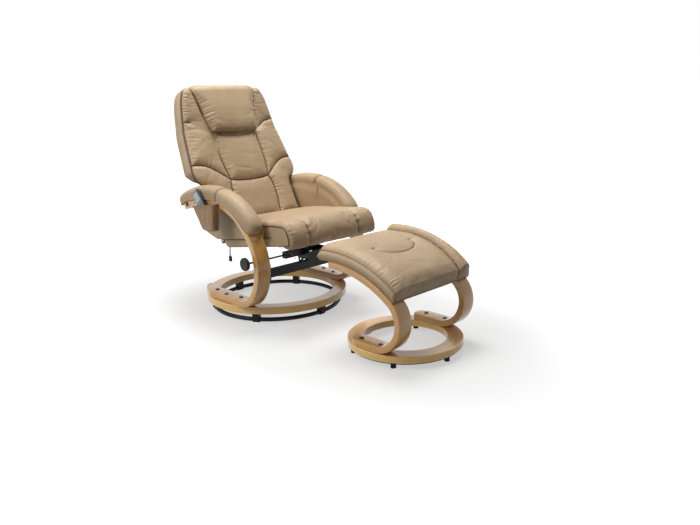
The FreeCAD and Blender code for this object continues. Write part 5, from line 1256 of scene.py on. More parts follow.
# %% Arm pads and their piping
def arm_pad(name, side):
    rows = [(turned, 0.0, pad_share(turned), 0.020 * math.exp(-(turned - PAD_START) / 3.5),
             PAD_SEAM_DEPTH * bell(turned - PAD_SEAM_TURN, 0.8)) for turned in pad_turns]
    rows += [(arm_strip.turned, PAD_TAIL * ahead, share, 0.012 * ahead, 0.0)
             for ahead, share in TAIL_ENDS[1:]]
    points, shades = [], []
    for turned, ahead, share, pucker, seam in rows:
        across, up = pad_ring(share, pucker, seam, pad_lap(turned))
        for a, b in zip(across, up):
            points.append(chair(side * (ARM_CENTRE + a), *arm_strip.place(turned, b, ahead)))
            shades.append(min(1.0, seam / PAD_SEAM_DEPTH))
    piece = mesh_piece(name, points, tube_faces(len(rows), len(across)))
    seam_shade_attribute(piece, shades)
    return outwards(piece)


def pad_line(side):
    """The line along the foot of the pad's outer side, for its piping."""
    line = [chair(side * (ARM_CENTRE + PAD_HALF * pad_share(turned) + 0.9),
                  *arm_strip.place(turned, 1.5 - pad_lap(turned)))
            for turned in np.linspace(PAD_START + 1, arm_strip.turned, 90)]
    return line + [chair(side * (ARM_CENTRE + PAD_HALF * np.interp(ahead, *zip(*TAIL_ENDS)) + 0.3),
                         *arm_strip.place(arm_strip.turned, 2.0, PAD_TAIL * ahead))
                   for ahead in np.linspace(0.1, 1.0, 10)]


for label, side in (("right", -1), ("left", 1)):
    pad = arm_pad("armrest_pad_" + label, side)
    cushion(pad, "chair_frame", tan_leather, ["arm_pad_" + label])
    piped("armrest_piping_" + label, [pad_line(side)], 2.0, "chair_frame", tan_leather)
    print(label, "pad points", len(pad.data.vertices))

# %% [markdown]
# ## Seat
# The seat cushion is one long roll of leather: flat on top, round over its front edge and tucked
# in below. Two short seams draw the roll in at the front. Its side view is one smooth line, and
# the cushion is that line at every place across, moved inwards near the sides.

# %% Seat cushion
SEAT_LINE = [(16, 44), (17, 80), (6, 106), (-40, 117), (-140, 118), (-260, 112), (-350, 107),
             (-410, 105), (-446, 100), (-468, 88), (-482, 68), (-489, 42), (-490, 18), (-484, -2),
             (-468, -11), (-448, -11), (-431, -8)]
SEAT_HALF, EAR_HALF, EAR_FROM, EAR_TO = 234, 248, -372, -398
FRONT_SEAM, SEAT_COLUMNS, EDGE_ROUND = 142, 150, 17.0
side_view = smooth_line(SEAT_LINE, 190)
side_back, side_up = side_view[:, :1], side_view[:, 1:]
view_run = run_length(side_view)[:, None]
tangent = np.gradient(side_view, axis=0)
tangent /= np.linalg.norm(tangent, axis=1)[:, None]
inward = np.stack([tangent[:, 1], -tangent[:, 0]], -1)
if inward[60, 1] > 0:
    inward = -inward


def half_width_at(back):
    """The cushion is wider in front of the arms."""
    share = np.clip((back - EAR_FROM) / (EAR_TO - EAR_FROM), 0, 1)
    return SEAT_HALF + (EAR_HALF - SEAT_HALF) * share * share * (3 - 2 * share)


def between_ends(values, edge):
    """Places from -1 to 1, closer together near both ends by a share called edge."""
    shares = (1 - edge) * values + edge * np.sin(values * math.pi / 2)
    return shares / shares[-1]


shares = between_ends(np.linspace(-1, 1, SEAT_COLUMNS), 0.35)[None]
half = half_width_at(side_back)
across = shares * half
beside = np.clip(np.abs(across) - (half - EDGE_ROUND), 0, EDGE_ROUND)
inset = EDGE_ROUND - np.sqrt(EDGE_ROUND ** 2 - beside ** 2)
print("seat points", across.shape, "half width", half.min(), "to", half.max())

# %% [markdown]
# The roll is drawn in at its two front seams and gathered beside them. A few wide, shallow folds
# with drawn places make the top look sat on. All of it is one depth, by which each point sinks.

# %% Seat folds
crown = 5.0 * (1 - np.abs(shares) ** 2.2) * np.clip(1 - np.abs(side_back + 200) / 320, 0, 1)
from_seam = np.abs(np.abs(across) - FRONT_SEAM)
on_roll = (np.clip((view_run - 480) / 46, 0, 1) * np.clip((view_run[-1] - 6 - view_run) / 30, 0, 1))
valley = (8.5 * bell(from_seam, 5.5, 1.4) + 3.0 * bell(from_seam, 20)) * on_roll
gather = 1.9 * np.sin(view_run / 5.2 + np.sign(across) * 0.8) * np.exp(-from_seam / 13) * on_roll
end_gather = (1.1 * ripple(view_run + 0 * across, view_run[-1, 0], 15, 61)
              * np.exp(-(half - np.abs(across)) / 15))
soft = np.zeros_like(across)
draw = random.Random(7)
for number in range(9):
    x0, t0 = draw.uniform(-200, 200), draw.uniform(120, 520)
    lean, length, deep = draw.uniform(-0.4, 0.4), draw.uniform(40, 90), draw.uniform(0.6, 1.5)
    soft += deep * bell((view_run - t0) - lean * (across - x0), 9) * bell(across - x0, length)
sink = inset + valley + gather + end_gather + soft - crown
back_place, up_place = side_back + inward[:, :1] * sink, side_up + inward[:, 1:] * sink
rows, columns = across.shape
pins = np.clip(1.15 - np.minimum(beside.max() - beside, np.where(on_roll > 0.3, from_seam, 99)) / 14,
               0, 1)
pins[:3] = pins[-3:] = 1.0
above = np.ravel(on_seat(0, -140, 128) - on_seat(0, -140, 118))
skin = clothed("seat_roll", on_seat(across, back_place, up_place), rows, columns, pins, above,
               0.8, 10, 0.015)
seat_skin = skin.reshape(rows, columns, 3)
print("seat sinks by up to", round(float(sink.max()), 1), "mm")

# %% [markdown]
# Two side panels close the roll, from its piping down to the casing, and puff out a little on the
# way. Under the roll and at its rear the solid is closed with plain faces.

# %% Seat sides
SIDE_STEPS, SIDE_PUFF, LEAST_PUFF_DROP = 14, 5.0, 60
TRAY_LIMIT, EAR_LIMIT = 236.5, 253
points, faces = list(skin), grid_faces(rows, columns)
shade = (bell(from_seam, 2.0) * on_roll).ravel()
lowest = []
for end in (0, columns - 1):
    rim_back, rim_up, rim_across = back_place[:, end], up_place[:, end], across[:, end]
    out = np.sign(rim_across)
    low_back = np.clip(rim_back, -424, 16) - 0.12 * np.cumsum(rim_back < -424)
    low_up = 42.0 - 40.5 * np.clip((-rim_back - 335) / 35, 0, 1)
    low_across = out * (np.minimum(np.abs(rim_across), half_width_at(low_back)) - 1.0)
    drop = np.clip(np.hypot(rim_back - low_back, rim_up - low_up) / LEAST_PUFF_DROP, 0, 1)
    previous = [row * columns + end for row in range(rows)]
    for step in range(1, SIDE_STEPS + 1):
        share = step / SIDE_STEPS
        outer = np.abs(rim_across * (1 - share) + low_across * share
                       + out * (SIDE_PUFF * math.sin(math.pi * share) * drop - 1.0))
        outer = out * np.minimum(outer, np.where(rim_back > EAR_FROM, TRAY_LIMIT, EAR_LIMIT))
        current = list(range(len(points), len(points) + rows))
        points += list(on_seat(outer, rim_back * (1 - share) + low_back * share,
                               rim_up * (1 - share) + low_up * share))
        faces += strip_between(previous, current)
        previous = current
    lowest.append(previous)
right_low, left_low = lowest
faces += [(a, b, d, c) for a, b, c, d in zip(right_low, right_low[1:], left_low, left_low[1:])]
faces.append((left_low[0], *range(columns)[::-1], right_low[0]))
faces.append((right_low[-1], *range((rows - 1) * columns, rows * columns), left_low[-1]))
seat = mesh_piece("seat_roll", points, faces)
seam_shade_attribute(seat, np.append(shade, np.zeros(len(points) - len(shade))))
cushion(outwards(seat), "seat", tan_leather, ["seat_cushion"])
print("seat faces", len(seat.data.polygons))

# %% [markdown]
# A dark cord lies in each of the two front seams, painted shade for the shadow in their valleys.
# Piping in the darkest shade leather follows the roll's side from the rear, over the front and back
# under the seat.

# %% Seat piping
def along_seam(rows, seam_at, across, skin):
    """The places on a skin where its rows cross a seam."""
    return np.array([[np.interp(seam_at[row], across[row], skin[row, :, k]) for k in range(3)]
                     for row in rows])


seam_rows = np.flatnonzero(on_roll[:, 0] > 0.4)
piped("seat_front_seam_shade", [along_seam(seam_rows, np.full(rows, place), across, seat_skin)
                           for place in (-FRONT_SEAM, FRONT_SEAM)], 1.5, "seat", shade_piping, 6)
side_lines = [on_seat(across[:, end] + side * 0.6, back_place[:, end], up_place[:, end])[4:]
              for end, side in ((0, -1), (-1, 1))]
piped("seat_piping", side_lines, 2.8, "seat", shade_piping)

# %% [markdown]
# ## Casing
# The cushion lies in a tray that is upholstered in the same leather. It is built as rings: up the
# outside with rounded corners, over the rim, down the inside, and across the floor. Its rear is
# cut back at the bottom, as the CAD tray's is.

# %% Casing cover
CASING_HALF, CASING_LENGTH, CASING_TAIL, CASING_CHAMFER = 232, 426, 20, 16


def tray_ring(inset, up, puff=0.0, corner=12.0):
    """A level rounded rectangle round the tray. The rear wall slopes in below its chamfer."""
    rear = CASING_TAIL - max(0.0, (CASING_CHAMFER - up)) * CASING_TAIL / CASING_CHAMFER - inset
    front = -CASING_LENGTH + inset
    side = CASING_HALF - inset
    places = []
    for x, y, turn in ((side, front, -90), (side, rear, 0), (-side, rear, 90), (-side, front, 180)):
        middle_x = x - math.copysign(corner, x)
        middle_y = y + (corner if y == front else -corner)
        for step in range(9):
            angle = math.radians(turn + step * 90 / 8)
            places.append((middle_x + corner * math.cos(angle), middle_y + corner * math.sin(angle)))
    loop = even(np.array(places + places[:1]), 241)[:-1]
    outward = loop - np.array([0, (front + rear) / 2])
    outward /= np.linalg.norm(outward, axis=1)[:, None]
    loop = loop + outward * puff
    return on_seat(loop[:, 0], loop[:, 1], np.full(len(loop), up))


TRAY_LEVELS = [(4, 0), (1.2, 0.8), (0, 3), (0, 12, 1.0), (0, 22, 1.6), (0, 32, 1.0), (0, 38), (1.4, 40),
               (4, 40), (4.6, 36), (4.6, 5), (30, 4)]
tray_rings = [tray_ring(*level) for level in TRAY_LEVELS]
faces = tube_faces(len(tray_rings), len(tray_rings[0]))
casing = outwards(mesh_piece("casing_cover", np.vstack(tray_rings), faces))
dress(casing, "seat", "tan_leather", tan_leather, replaces=["seat_casing"])
piped("casing_welt", [tray_ring(-0.6, 41)], 1.7, "seat", piping_leather, closed=True)
print("casing points", len(casing.data.vertices))

# %% [markdown]
# ## Arm panels
# A thin padded panel closes the space between each arm and the seat. Its outline follows the arm
# above and sags to a belly below. Rings with rounded edges give it thickness, and its two faces
# puff out a little from a stitched border.

# %% Arm panels
PANEL_INNER = ARM_CENTRE - ARM_WIDTH / 2
PANEL_THICKNESS, PANEL_RISE, PANEL_START, PANEL_FADE = 12, 17, 129, 58
PANEL_FOOT, PANEL_REAR, PANEL_SLOPE = (109, 334), (250, 398), math.radians(9.1)
PANEL_SAG, PAD_REACH = 9, 12
top_run = np.array([arm_strip.place(turned, PANEL_RISE) for turned in
                    np.linspace(PANEL_START, arm_strip.turned, 40)])
front_point = (top_run[0, 0], PANEL_FOOT[1] + (PANEL_FOOT[0] - top_run[0, 0]) * math.tan(PANEL_SLOPE))
belly = smooth_line([PANEL_REAR, ((PANEL_FOOT[0] + PANEL_REAR[0]) / 2 + PANEL_SAG,
                                  (PANEL_FOOT[1] + PANEL_REAR[1]) / 2 - PANEL_SAG), PANEL_FOOT], 20)
outline_2d = even(np.vstack([top_run, belly, [front_point], top_run[:1]]), 301)[:-1]
panel_heart = outline_2d.mean(0)
gap_to_top = np.linalg.norm(outline_2d[:, None] - even(top_run, 200)[None], axis=2).min(1)
beside_pad = np.clip(1 - gap_to_top / PAD_REACH, 0, 1)


def panel_ring(share_in, x, side):
    """The outline drawn towards its middle by a distance, at one place across."""
    reach = np.linalg.norm(outline_2d - panel_heart, axis=1)[:, None]
    loop = panel_heart + (outline_2d - panel_heart) * (1 - share_in / reach)
    # beside the pad the panel has no hem and grows thin, so that it runs into the pad
    if x < PANEL_INNER - PANEL_THICKNESS / 2:
        x = x + (PANEL_INNER - PANEL_THICKNESS + 0.2 - x) * beside_pad
    slope = 1 - np.clip(share_in / PANEL_FADE, 0, 1)
    thin = beside_pad * slope * slope * (3 - 2 * slope)
    return chair(side * (x + (PANEL_INNER - 3.4 - x) * thin), loop[:, 0], loop[:, 1])


INNER_RINGS = [(reach, 0.2) for reach in (58, 51, 44, 37, 30, 24)] + [
    (18, 0.3), (13, 0.8), (9, 1.4), (5, 0.6), (2, 1.2), (0, 3.5)]
OUTER_RINGS = [(0, 3.5), (2, 1.0), (5, 0.4), (9, 1.6), (13, 0.9), (26, 0)]
PANEL_SEAM = [(-3.0, -39, 536), (-0.6, -38, 522), (-0.1, -38, 500), (-0.4, -36.5, 478),
              (-1.9, -36, 462)]
inner, outer = PANEL_INNER - PANEL_THICKNESS, PANEL_INNER - 0.2
stack = [(reach, inner + x) for reach, x in INNER_RINGS]
stack += [(reach, outer - x) for reach, x in OUTER_RINGS]
for label, side in (("right", -1), ("left", 1)):
    rings = [panel_ring(share_in, x, side) for share_in, x in stack]
    faces = tube_faces(len(rings), len(outline_2d))
    side_panel = outwards(mesh_piece("arm_side_panel_" + label, np.vstack(rings), faces))
    cushion(side_panel, "chair_frame", tan_leather, ["arm_panel_" + label])
    seam_line = smooth_line([chair(side * (inner - x), y, z) for x, y, z in PANEL_SEAM], 40)
    piped("arm_panel_seam_" + label, [seam_line], 1.3, "chair_frame", piping_leather)
print("arm panel outline", len(outline_2d))

# %% [markdown]
# ## Pouch
# A leather pouch hangs on the outside of the right arm and holds the handset. Its rear wall lies
# flat on the arm. Its front wall bellies out, and an elastic hem gathers it along the mouth. Four
# sheets make it: the outside and the inside of both walls.

# %% Pouch
POUCH_CORNERS = np.array([(-28, 522), (139, 497), (-20, 408), (64, 397)])
POUCH_X, POUCH_DEPTH, POUCH_WALL, POUCH_DROP, POUCH_SAG = -317.3, 34, 2.4, 105, 7.0
POUCH_ROWS, POUCH_COLUMNS = 70, 110
down, along = np.meshgrid(np.linspace(0, 1, POUCH_ROWS), np.linspace(0, 1, POUCH_COLUMNS),
                          indexing="ij")
top_front, top_rear, foot_front, foot_rear = POUCH_CORNERS
top = top_front + (top_rear - top_front) * along[..., None]
low = foot_front + (foot_rear - foot_front) * along[..., None]
low = low + np.array([0, -POUCH_SAG]) * (4 * along * (1 - along))[..., None]
pouch_y, pouch_z = np.moveaxis(top * (1 - down[..., None]) + low * down[..., None], -1, 0)
full_across = (1 - np.abs(2 * along - 1) ** 10) ** 0.3
fullness = POUCH_WALL * 1.2 + (POUCH_DEPTH - POUCH_WALL * 1.4) * full_across * (1 - down ** 16) ** 0.45
from_mouth = down * POUCH_DROP
ruffle = 1.3 * np.sin(along * 2 * math.pi * 17 + 1.1 * np.sin(along * 23)) * np.exp(-from_mouth / 12.0)
cinch = 1.4 * bell(from_mouth - 10, 3.2)
slack = (2.2 * np.sin(along * 24 + down * 4 + 1.5 * np.sin(down * 7)) * (1 - 0.5 * down)
         * np.sin(math.pi * down) ** 2 * full_across)
out = np.clip(fullness + (ruffle - cinch + slack) * full_across, POUCH_WALL * 1.1, POUCH_DEPTH)
rear_z = pouch_z + 4.0 * np.clip(1 - down * 6, 0, 1)
front_sheet = chair(POUCH_X - out, pouch_y, pouch_z)
sheets = [front_sheet, chair(POUCH_X - 0.2, pouch_y, rear_z),
          chair(POUCH_X - np.maximum(out - POUCH_WALL, 1.9), pouch_y, pouch_z),
          chair(POUCH_X - 1.7, pouch_y, rear_z)]
print("pouch wall bulges", round(float(out.max()), 1), "mm")

# %% [markdown]
# The sheets are joined along the mouth, the sides and the foot. The hem and the edge are thick
# seams.

# %% Pouch solid
size = POUCH_ROWS * POUCH_COLUMNS
faces = []
for number in range(len(sheets)):
    faces += grid_faces(POUCH_ROWS, POUCH_COLUMNS, number * size)
index = np.arange(size).reshape(POUCH_ROWS, POUCH_COLUMNS)
faces += strip_between(index[0], index[0] + 2 * size)
faces += strip_between(index[0] + size, index[0] + 3 * size)
for edge in (index[:, 0], index[:, -1], index[-1]):
    faces += strip_between(edge, edge + size)
    faces += strip_between(edge + 2 * size, edge + 3 * size)
for edge in (index[0, 0], index[0, -1]):
    faces.append((edge, edge + size, edge + 3 * size, edge + 2 * size))
pouch = outwards(mesh_piece("handset_pouch", np.concatenate(sheets).reshape(-1, 3), faces))
# the pouch, its hem and its edge are in the darker shade leather: painted shade, for the shade under the arm's
# wood
cushion(pouch, "chair_frame", shade_leather, ["pouch"])
piped("pouch_hem", [front_sheet[0]], 1.9, "chair_frame", shade_leather)
edge_line = np.vstack([front_sheet[:, 0], front_sheet[-1, 1:], front_sheet[-2::-1, -1]])
piped("pouch_edge", [edge_line], 1.7, "chair_frame", shade_leather)
print("pouch points", len(pouch.data.vertices))

# %% [markdown]
# ## Ottoman cushion
# The ottoman's cushion lies on a thin board that bridges the two legs. It follows the legs' bend:
# level near the chair, and curling down at its front end. Piping closes the top panel against a
# side band, and a half-moon seam marks the middle of the far end.

# %% Ottoman cushion
BOARD_TOP, STOOL_PIPING, PIPING_HEIGHT = 9.6, 217, 42
STOOL_START, STOOL_OVERHANG, STOOL_RADIUS = 138.2, 62, 590
STOOL_COLUMNS, STOOL_ROWS = 160, 176
bend_length = math.radians(leg_strip.turned - STOOL_START) * STOOL_RADIUS
whole_length = bend_length + STOOL_OVERHANG


def on_ottoman(across, share, height):
    """A place on the bent cushion: share runs from its front end to the end near the chair."""
    across, share, height = np.broadcast_arrays(across, share, height)
    run = share * whole_length
    turned = np.minimum(STOOL_START + np.degrees(run / STOOL_RADIUS), leg_strip.turned)
    ahead = np.maximum(0, run - bend_length)
    points = np.empty(across.shape + (3,))
    for place in np.ndindex(across.shape):
        y, z = leg_strip.place(turned[place], height[place], ahead[place])
        points[place] = chair(OTTOMAN_X + across[place], OTTOMAN_Y + y, z)
    return points


def end_drop(run, reach, power):
    """How full the cushion is along its run: tapered at its front, rounded at its rear."""
    return np.minimum(swollen(run, reach, power), swollen(whole_length - run, 36, 2.3))


side_share = between_ends(np.linspace(-1, 1, STOOL_COLUMNS), 0.45)
stool_run = np.linspace(0, 1, STOOL_ROWS)
stool_run = 0.6 * stool_run + 0.4 * (1 - np.cos(stool_run * math.pi)) / 2
share, side_share = np.meshgrid(stool_run, side_share, indexing="ij")
across, run_mm = STOOL_PIPING * side_share, share * whole_length
from_piping = STOOL_PIPING * (1 - np.abs(side_share))
print("ottoman runs over", round(whole_length, 1), "mm")

# %% [markdown]
# Seen across, the top is low at the piping, full in the middle, drawn in at one long seam, and
# round again as a bolster beyond it. Along its run it tapers to the front.

# %% Ottoman height
SEAM_RUN = [0, 30, 60, 96, 142, 194, 266, 369, 425, 490]
SEAM_ACROSS = [146, 148, 150, 153, 158, 168, 173, 174, 163, 158]
GROOVE, CENTRE_HEIGHT, BOLSTER_HEIGHT = 55, 64, 82
seam_x = np.interp(run_mm, SEAM_RUN, SEAM_ACROSS)
outside = np.clip((across - seam_x) / (STOOL_PIPING - seam_x), 0, 1)
roll = np.sqrt(np.clip(4 * outside * (1 - outside), 0, 1))
foot = np.where(outside < 0.5, GROOVE, PIPING_HEIGHT)
centre = GROOVE + (CENTRE_HEIGHT - GROOVE) * swollen(np.maximum(0, seam_x - across), 56)
near = PIPING_HEIGHT + (CENTRE_HEIGHT - PIPING_HEIGHT) * swollen(across + STOOL_PIPING, 52)
bolster = np.interp(run_mm, [0, 60, 150], [60, 74, BOLSTER_HEIGHT])
top_height = np.where(across < seam_x, np.minimum(centre, near), foot + (bolster - foot) * roll)
blend = np.clip(outside * 3, 0, 1)
fullness = end_drop(run_mm, 118, 1.3) * (1 - blend) + end_drop(run_mm, 84, 1.5) * blend
LOW_END = BOARD_TOP + 1.5
height = LOW_END + (top_height - LOW_END) * fullness
print("ottoman height", round(float(height.min()), 1), "to", round(float(height.max()), 1))

# %% [markdown]
# The half-moon seam pulls a line and a wider dip into the top, and pinches it at both its ends.
# The leather gathers along the piping, most of all at the front corners, and beside the long seam.

# %% Ottoman folds
MOON_MIDDLE, MOON_HALF, MOON_DEPTH = 322, 106, 69.0
moon_y = (run_mm - MOON_MIDDLE) / MOON_DEPTH
moon_line = np.abs(np.hypot(across / MOON_HALF, np.minimum(moon_y, 0)) - 1) * 80
side_gap = np.abs(across - seam_x)
rim_fade, seam_fade = np.clip(from_piping / 3, 0, 1), np.clip(side_gap / 3, 0, 1)
moon = bell(moon_line, 4.0, 1.5) * (moon_y < 0.12) * (moon_y > -1.5)
pinch = bell(np.hypot(np.abs(across) - MOON_HALF + 4, run_mm - MOON_MIDDLE), 16)
height = height - 5.0 * moon - 2.5 * bell(moon_line, 18.0) * (moon_y < 0.12) - 3 * pinch
height += ripple(run_mm, whole_length, 13, 71) * np.exp(-from_piping / 15) * rim_fade
height += 3.4 * np.sin(run_mm / 2.1) * np.exp(-from_piping / 20) * bell(run_mm - 118, 17) * rim_fade
height -= 3.0 * bell(side_gap, 4.0, 1.5) * fullness
height += 1.1 * ripple(run_mm, whole_length, 12, 73) * np.exp(-side_gap / 12) * seam_fade
draw = random.Random(9)
for number in range(8):
    x0, t0 = draw.uniform(-170, 170), draw.uniform(60, 330)
    gap = (run_mm - t0) - draw.uniform(-0.5, 0.5) * (across - x0)
    height -= draw.uniform(0.5, 1.3) * bell(gap, 10) * bell(across - x0, 60)
near_seam = np.minimum(np.minimum(from_piping, np.where(moon_y < 0.15, moon_line, 99)), side_gap)
pins = np.clip(1.2 - near_seam / 16, 0, 1)
pins[:2] = pins[-2:] = 1.0
skin = clothed("ottoman_top", on_ottoman(across, share, height), STOOL_ROWS, STOOL_COLUMNS, pins,
               np.array([0, 0, 1.0]), 0.5, 9, 0.010).reshape(STOOL_ROWS, STOOL_COLUMNS, 3)
print("ottoman top points", skin.shape)

# %% [markdown]
# A side band goes down from the piping to the board, and swells on its way. Under it, smaller and
# smaller rings close the solid.

# %% Ottoman solid
BAND_STEPS, UNDER_STEPS = 9, 10
index = np.arange(STOOL_ROWS * STOOL_COLUMNS).reshape(STOOL_ROWS, STOOL_COLUMNS)
rim_across, rim_share, rim_height = (rim_of(values) for values in (across, share, height))
at_corner = (np.abs(rim_across) / STOOL_PIPING) ** 8
at_end = np.where((rim_share < 1e-6) | (rim_share > 1 - 1e-6),
                  np.where(rim_share > 0.5, 1, -1) * (1 - at_corner), 0)
hoops = []
for step in range(1, BAND_STEPS + 1):
    part = step / BAND_STEPS
    swell = math.sin(math.pi * part)
    outer = rim_across + np.sign(rim_across) * (6.5 * swell + 8.5 * part) * at_corner
    hoops.append(on_ottoman(outer, rim_share + at_end * 3.0 * swell / whole_length,
                            rim_height * (1 - part) + BOARD_TOP * part))
for step in range(1, UNDER_STEPS):
    part = 1 - step / UNDER_STEPS
    hoops.append(on_ottoman(rim_across * part, 0.5 + (rim_share - 0.5) * part, BOARD_TOP))
points, faces, previous = list(skin.reshape(-1, 3)), grid_faces(STOOL_ROWS, STOOL_COLUMNS), rim_of(index)
for hoop in hoops:
    current = range(len(points), len(points) + len(hoop))
    points += list(hoop)
    faces += band_between(previous, current)
    previous = current
stool = mesh_piece("ottoman_top", points, faces + [tuple(previous)])
# lines marks the grooves of the long seam and the half-moon, for the painted shade in them
lines = np.maximum(bell(moon_line, 1.9) * (moon_y < 0.12), bell(side_gap, 2.0))
seam_shade_attribute(stool, np.append(lines, np.zeros(len(points) - lines.size)))
cushion(outwards(stool), "ottoman", tan_leather, ["ottoman_cushion"])
print("ottoman top faces", len(stool.data.polygons))

# %% [markdown]
# The ottoman's piping stands where its top panel meets the side band. Dark cords lie in the long
# seam and the half-moon: painted shade, for the shadow in their grooves.

# %% Ottoman piping
stool_sides = [skin[4:-4, 0] + [-0.001, 0, 0.0005], skin[4:-4, -1] + [0.001, 0, 0.0005]]
piped("ottoman_piping", stool_sides, 2.6, "ottoman", piping_leather)
moon_angle = np.linspace(math.pi * 1.04, math.pi * 1.96, 60)
moon_across = MOON_HALF * np.cos(moon_angle)
moon_run = MOON_MIDDLE + MOON_DEPTH * np.sin(moon_angle)
moon_rows = [int(np.abs(run_mm[:, 0] - run).argmin()) for run in moon_run]
moon_height = [np.interp(x, across[row], height[row]) for x, row in zip(moon_across, moon_rows)]
moon_height = np.convolve(np.pad(moon_height, 3, mode="edge"), np.full(7, 1 / 7), "valid")
roll_seam = along_seam(range(5, STOOL_ROWS - 5), seam_x[:, 0], across, skin)
moon_seam = on_ottoman(moon_across, moon_run / whole_length, moon_height + 0.6)
piped("ottoman_seam_shade", [roll_seam, moon_seam], 1.2, "ottoman", shade_piping, 6)

# %% [markdown]
# A skirt wraps the board's edge below the cushion, and a welt runs round it. Both are in the darker
# shade leather: painted shade, for their faces that look down and forward under the cushion.

# %% Ottoman skirt
SKIRT_HALF, SKIRT_ROUND = 217, 6
SKIRT_LEVELS = [(0.4, 12.5), (0.4, 0.6), (2.2, 0.5), (3.6, 3), (4.4, 7), (3.8, 12.5)]
corners = [(x * SKIRT_HALF + SKIRT_ROUND * math.cos(math.radians(turn + step * 18)),
            run * (whole_length - 20) + 7 + SKIRT_ROUND * math.sin(math.radians(turn + step * 18)))
           for x, run, turn in ((1, 0, -90), (1, 1, 0), (-1, 1, 90), (-1, 0, 180)) for step in range(6)]
skirt_loop = even(np.array(corners + corners[:1]), 361)[:-1]
skirt_out = np.sign(skirt_loop - [0, whole_length / 2 - 3])
at_side = np.abs(skirt_loop[:, :1]) > SKIRT_HALF - 3
skirt_out *= np.hstack([at_side, ~at_side])


def skirt_ring(grow, offset):
    loop = skirt_loop + skirt_out * grow
    return on_ottoman(loop[:, 0], loop[:, 1] / whole_length, offset)


columns = len(skirt_loop)
first = list(range(columns))
last = [corner + (len(SKIRT_LEVELS) - 1) * columns for corner in first]
faces = grid_faces(len(SKIRT_LEVELS), columns, closed=True) + strip_between(last, first, closed=True)
skirt = mesh_piece("ottoman_skirt", np.vstack([skirt_ring(*level) for level in SKIRT_LEVELS]), faces)
dress(outwards(skirt), "ottoman", "tan_leather", shade_leather)
piped("ottoman_welt", [skirt_ring(4.2, 10.5)], 1.8, "ottoman", shade_leather, closed=True)
print("skirt points", len(skirt.data.vertices))

# %% [markdown]
# ## Stitches
# The only visible thread runs beside the seams of the pouch, the arm panels and the rear of the
# back. Hundreds of equal stitches along a line are work for Geometry Nodes: resample the line,
# put a short capsule on every point, turn it along the line and make the result real.

# %% Stitch tree
thread = coated("thread", (150, 120, 84), 0.7, texture=2500.0, strength=0.5)
STITCH_SIZES = [("Pitch", 0.0058), ("Stitch length", 0.0040), ("Thread radius", 0.00042)]
STITCH_NODES = {
    "in": "NodeGroupInput", "line": "GeometryNodeMeshToCurve",
    "cut": "GeometryNodeResampleCurve", "place": "GeometryNodeInstanceOnPoints",
    "capsule": "GeometryNodeMeshUVSphere", "turn": "FunctionNodeAlignRotationToVector",
    "tangent": "GeometryNodeInputTangent", "size": "ShaderNodeCombineXYZ",
    "half": "ShaderNodeMath", "real": "GeometryNodeRealizeInstances",
    "paint": "GeometryNodeSetMaterial", "out": "NodeGroupOutput"}
STITCH_WIRES = [
    ("in", "Geometry", "line", "Mesh"), ("line", "Curve", "cut", "Curve"),
    ("in", "Pitch", "cut", "Length"), ("cut", "Curve", "place", "Points"),
    ("capsule", "Mesh", "place", "Instance"), ("tangent", "Tangent", "turn", "Vector"),
    ("turn", "Rotation", "place", "Rotation"), ("in", "Stitch length", "half", 0),
    ("in", "Thread radius", "size", "X"), ("in", "Thread radius", "size", "Y"),
    ("half", 0, "size", "Z"), ("size", 0, "place", "Scale"),
    ("place", "Instances", "real", "Geometry"), ("real", "Geometry", "paint", "Geometry"),
    ("in", "Finish", "paint", "Material"), ("paint", "Geometry", "out", "Geometry")]


def stitch_tree():
    tree = bpy.data.node_groups.new("stitches", "GeometryNodeTree")
    face = tree.interface
    for way in ("INPUT", "OUTPUT"):
        face.new_socket("Geometry", in_out=way, socket_type="NodeSocketGeometry")
    for label, value in STITCH_SIZES:
        face.new_socket(label, in_out="INPUT", socket_type="NodeSocketFloat").default_value = value
    face.new_socket("Finish", in_out="INPUT", socket_type="NodeSocketMaterial")
    nodes = {key: tree.nodes.new(kind) for key, kind in STITCH_NODES.items()}
    nodes["cut"].mode, nodes["turn"].axis, nodes["half"].operation = "LENGTH", "Z", "MULTIPLY"
    nodes["half"].inputs[1].default_value = 0.5
    for label, value in (("Segments", 6), ("Rings", 5), ("Radius", 1.0)):
        nodes["capsule"].inputs[label].default_value = value
    for start, output, end, socket in STITCH_WIRES:
        tree.links.new(nodes[start].outputs[output], nodes[end].inputs[socket])
    return tree


stitches = stitch_tree()
print("stitch nodes", len(stitches.nodes))

# %% [markdown]
# The rows lie a little above the leather: below the pouch's hem and along its edge, round the arm
# panels, and twice round the rear panel.

# %% Rows of stitches
def stitched(name, lines, body):
    """Rows of stitches along lines, as a plain mesh that rides on a body."""
    edges, start = [], 0
    for line in lines:
        edges += [(start + n, start + n + 1) for n in range(len(line) - 1)]
        start += len(line)
    mesh = bpy.data.meshes.new(name + "_line")
    mesh.from_pydata([tuple(point) for point in np.vstack(lines)], edges, [])
    guide = placed(name + "_line", mesh)
    sewing = guide.modifiers.new("stitches", "NODES")
    sewing.node_group = stitches
    socket = next(item for item in stitches.interface.items_tree if item.name == "Finish")
    sewing[socket.identifier] = thread
    bpy.context.view_layer.update()
    result = bpy.data.meshes.new_from_object(guide.evaluated_get(bpy.context.evaluated_depsgraph_get()))
    guide.modifiers.remove(sewing)
    bpy.data.objects.remove(guide)
    piece = placed(name, result)
    result.polygons.foreach_set("use_smooth", [True] * len(result.polygons))
    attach(piece, body)
    print(name, "faces", len(result.polygons))


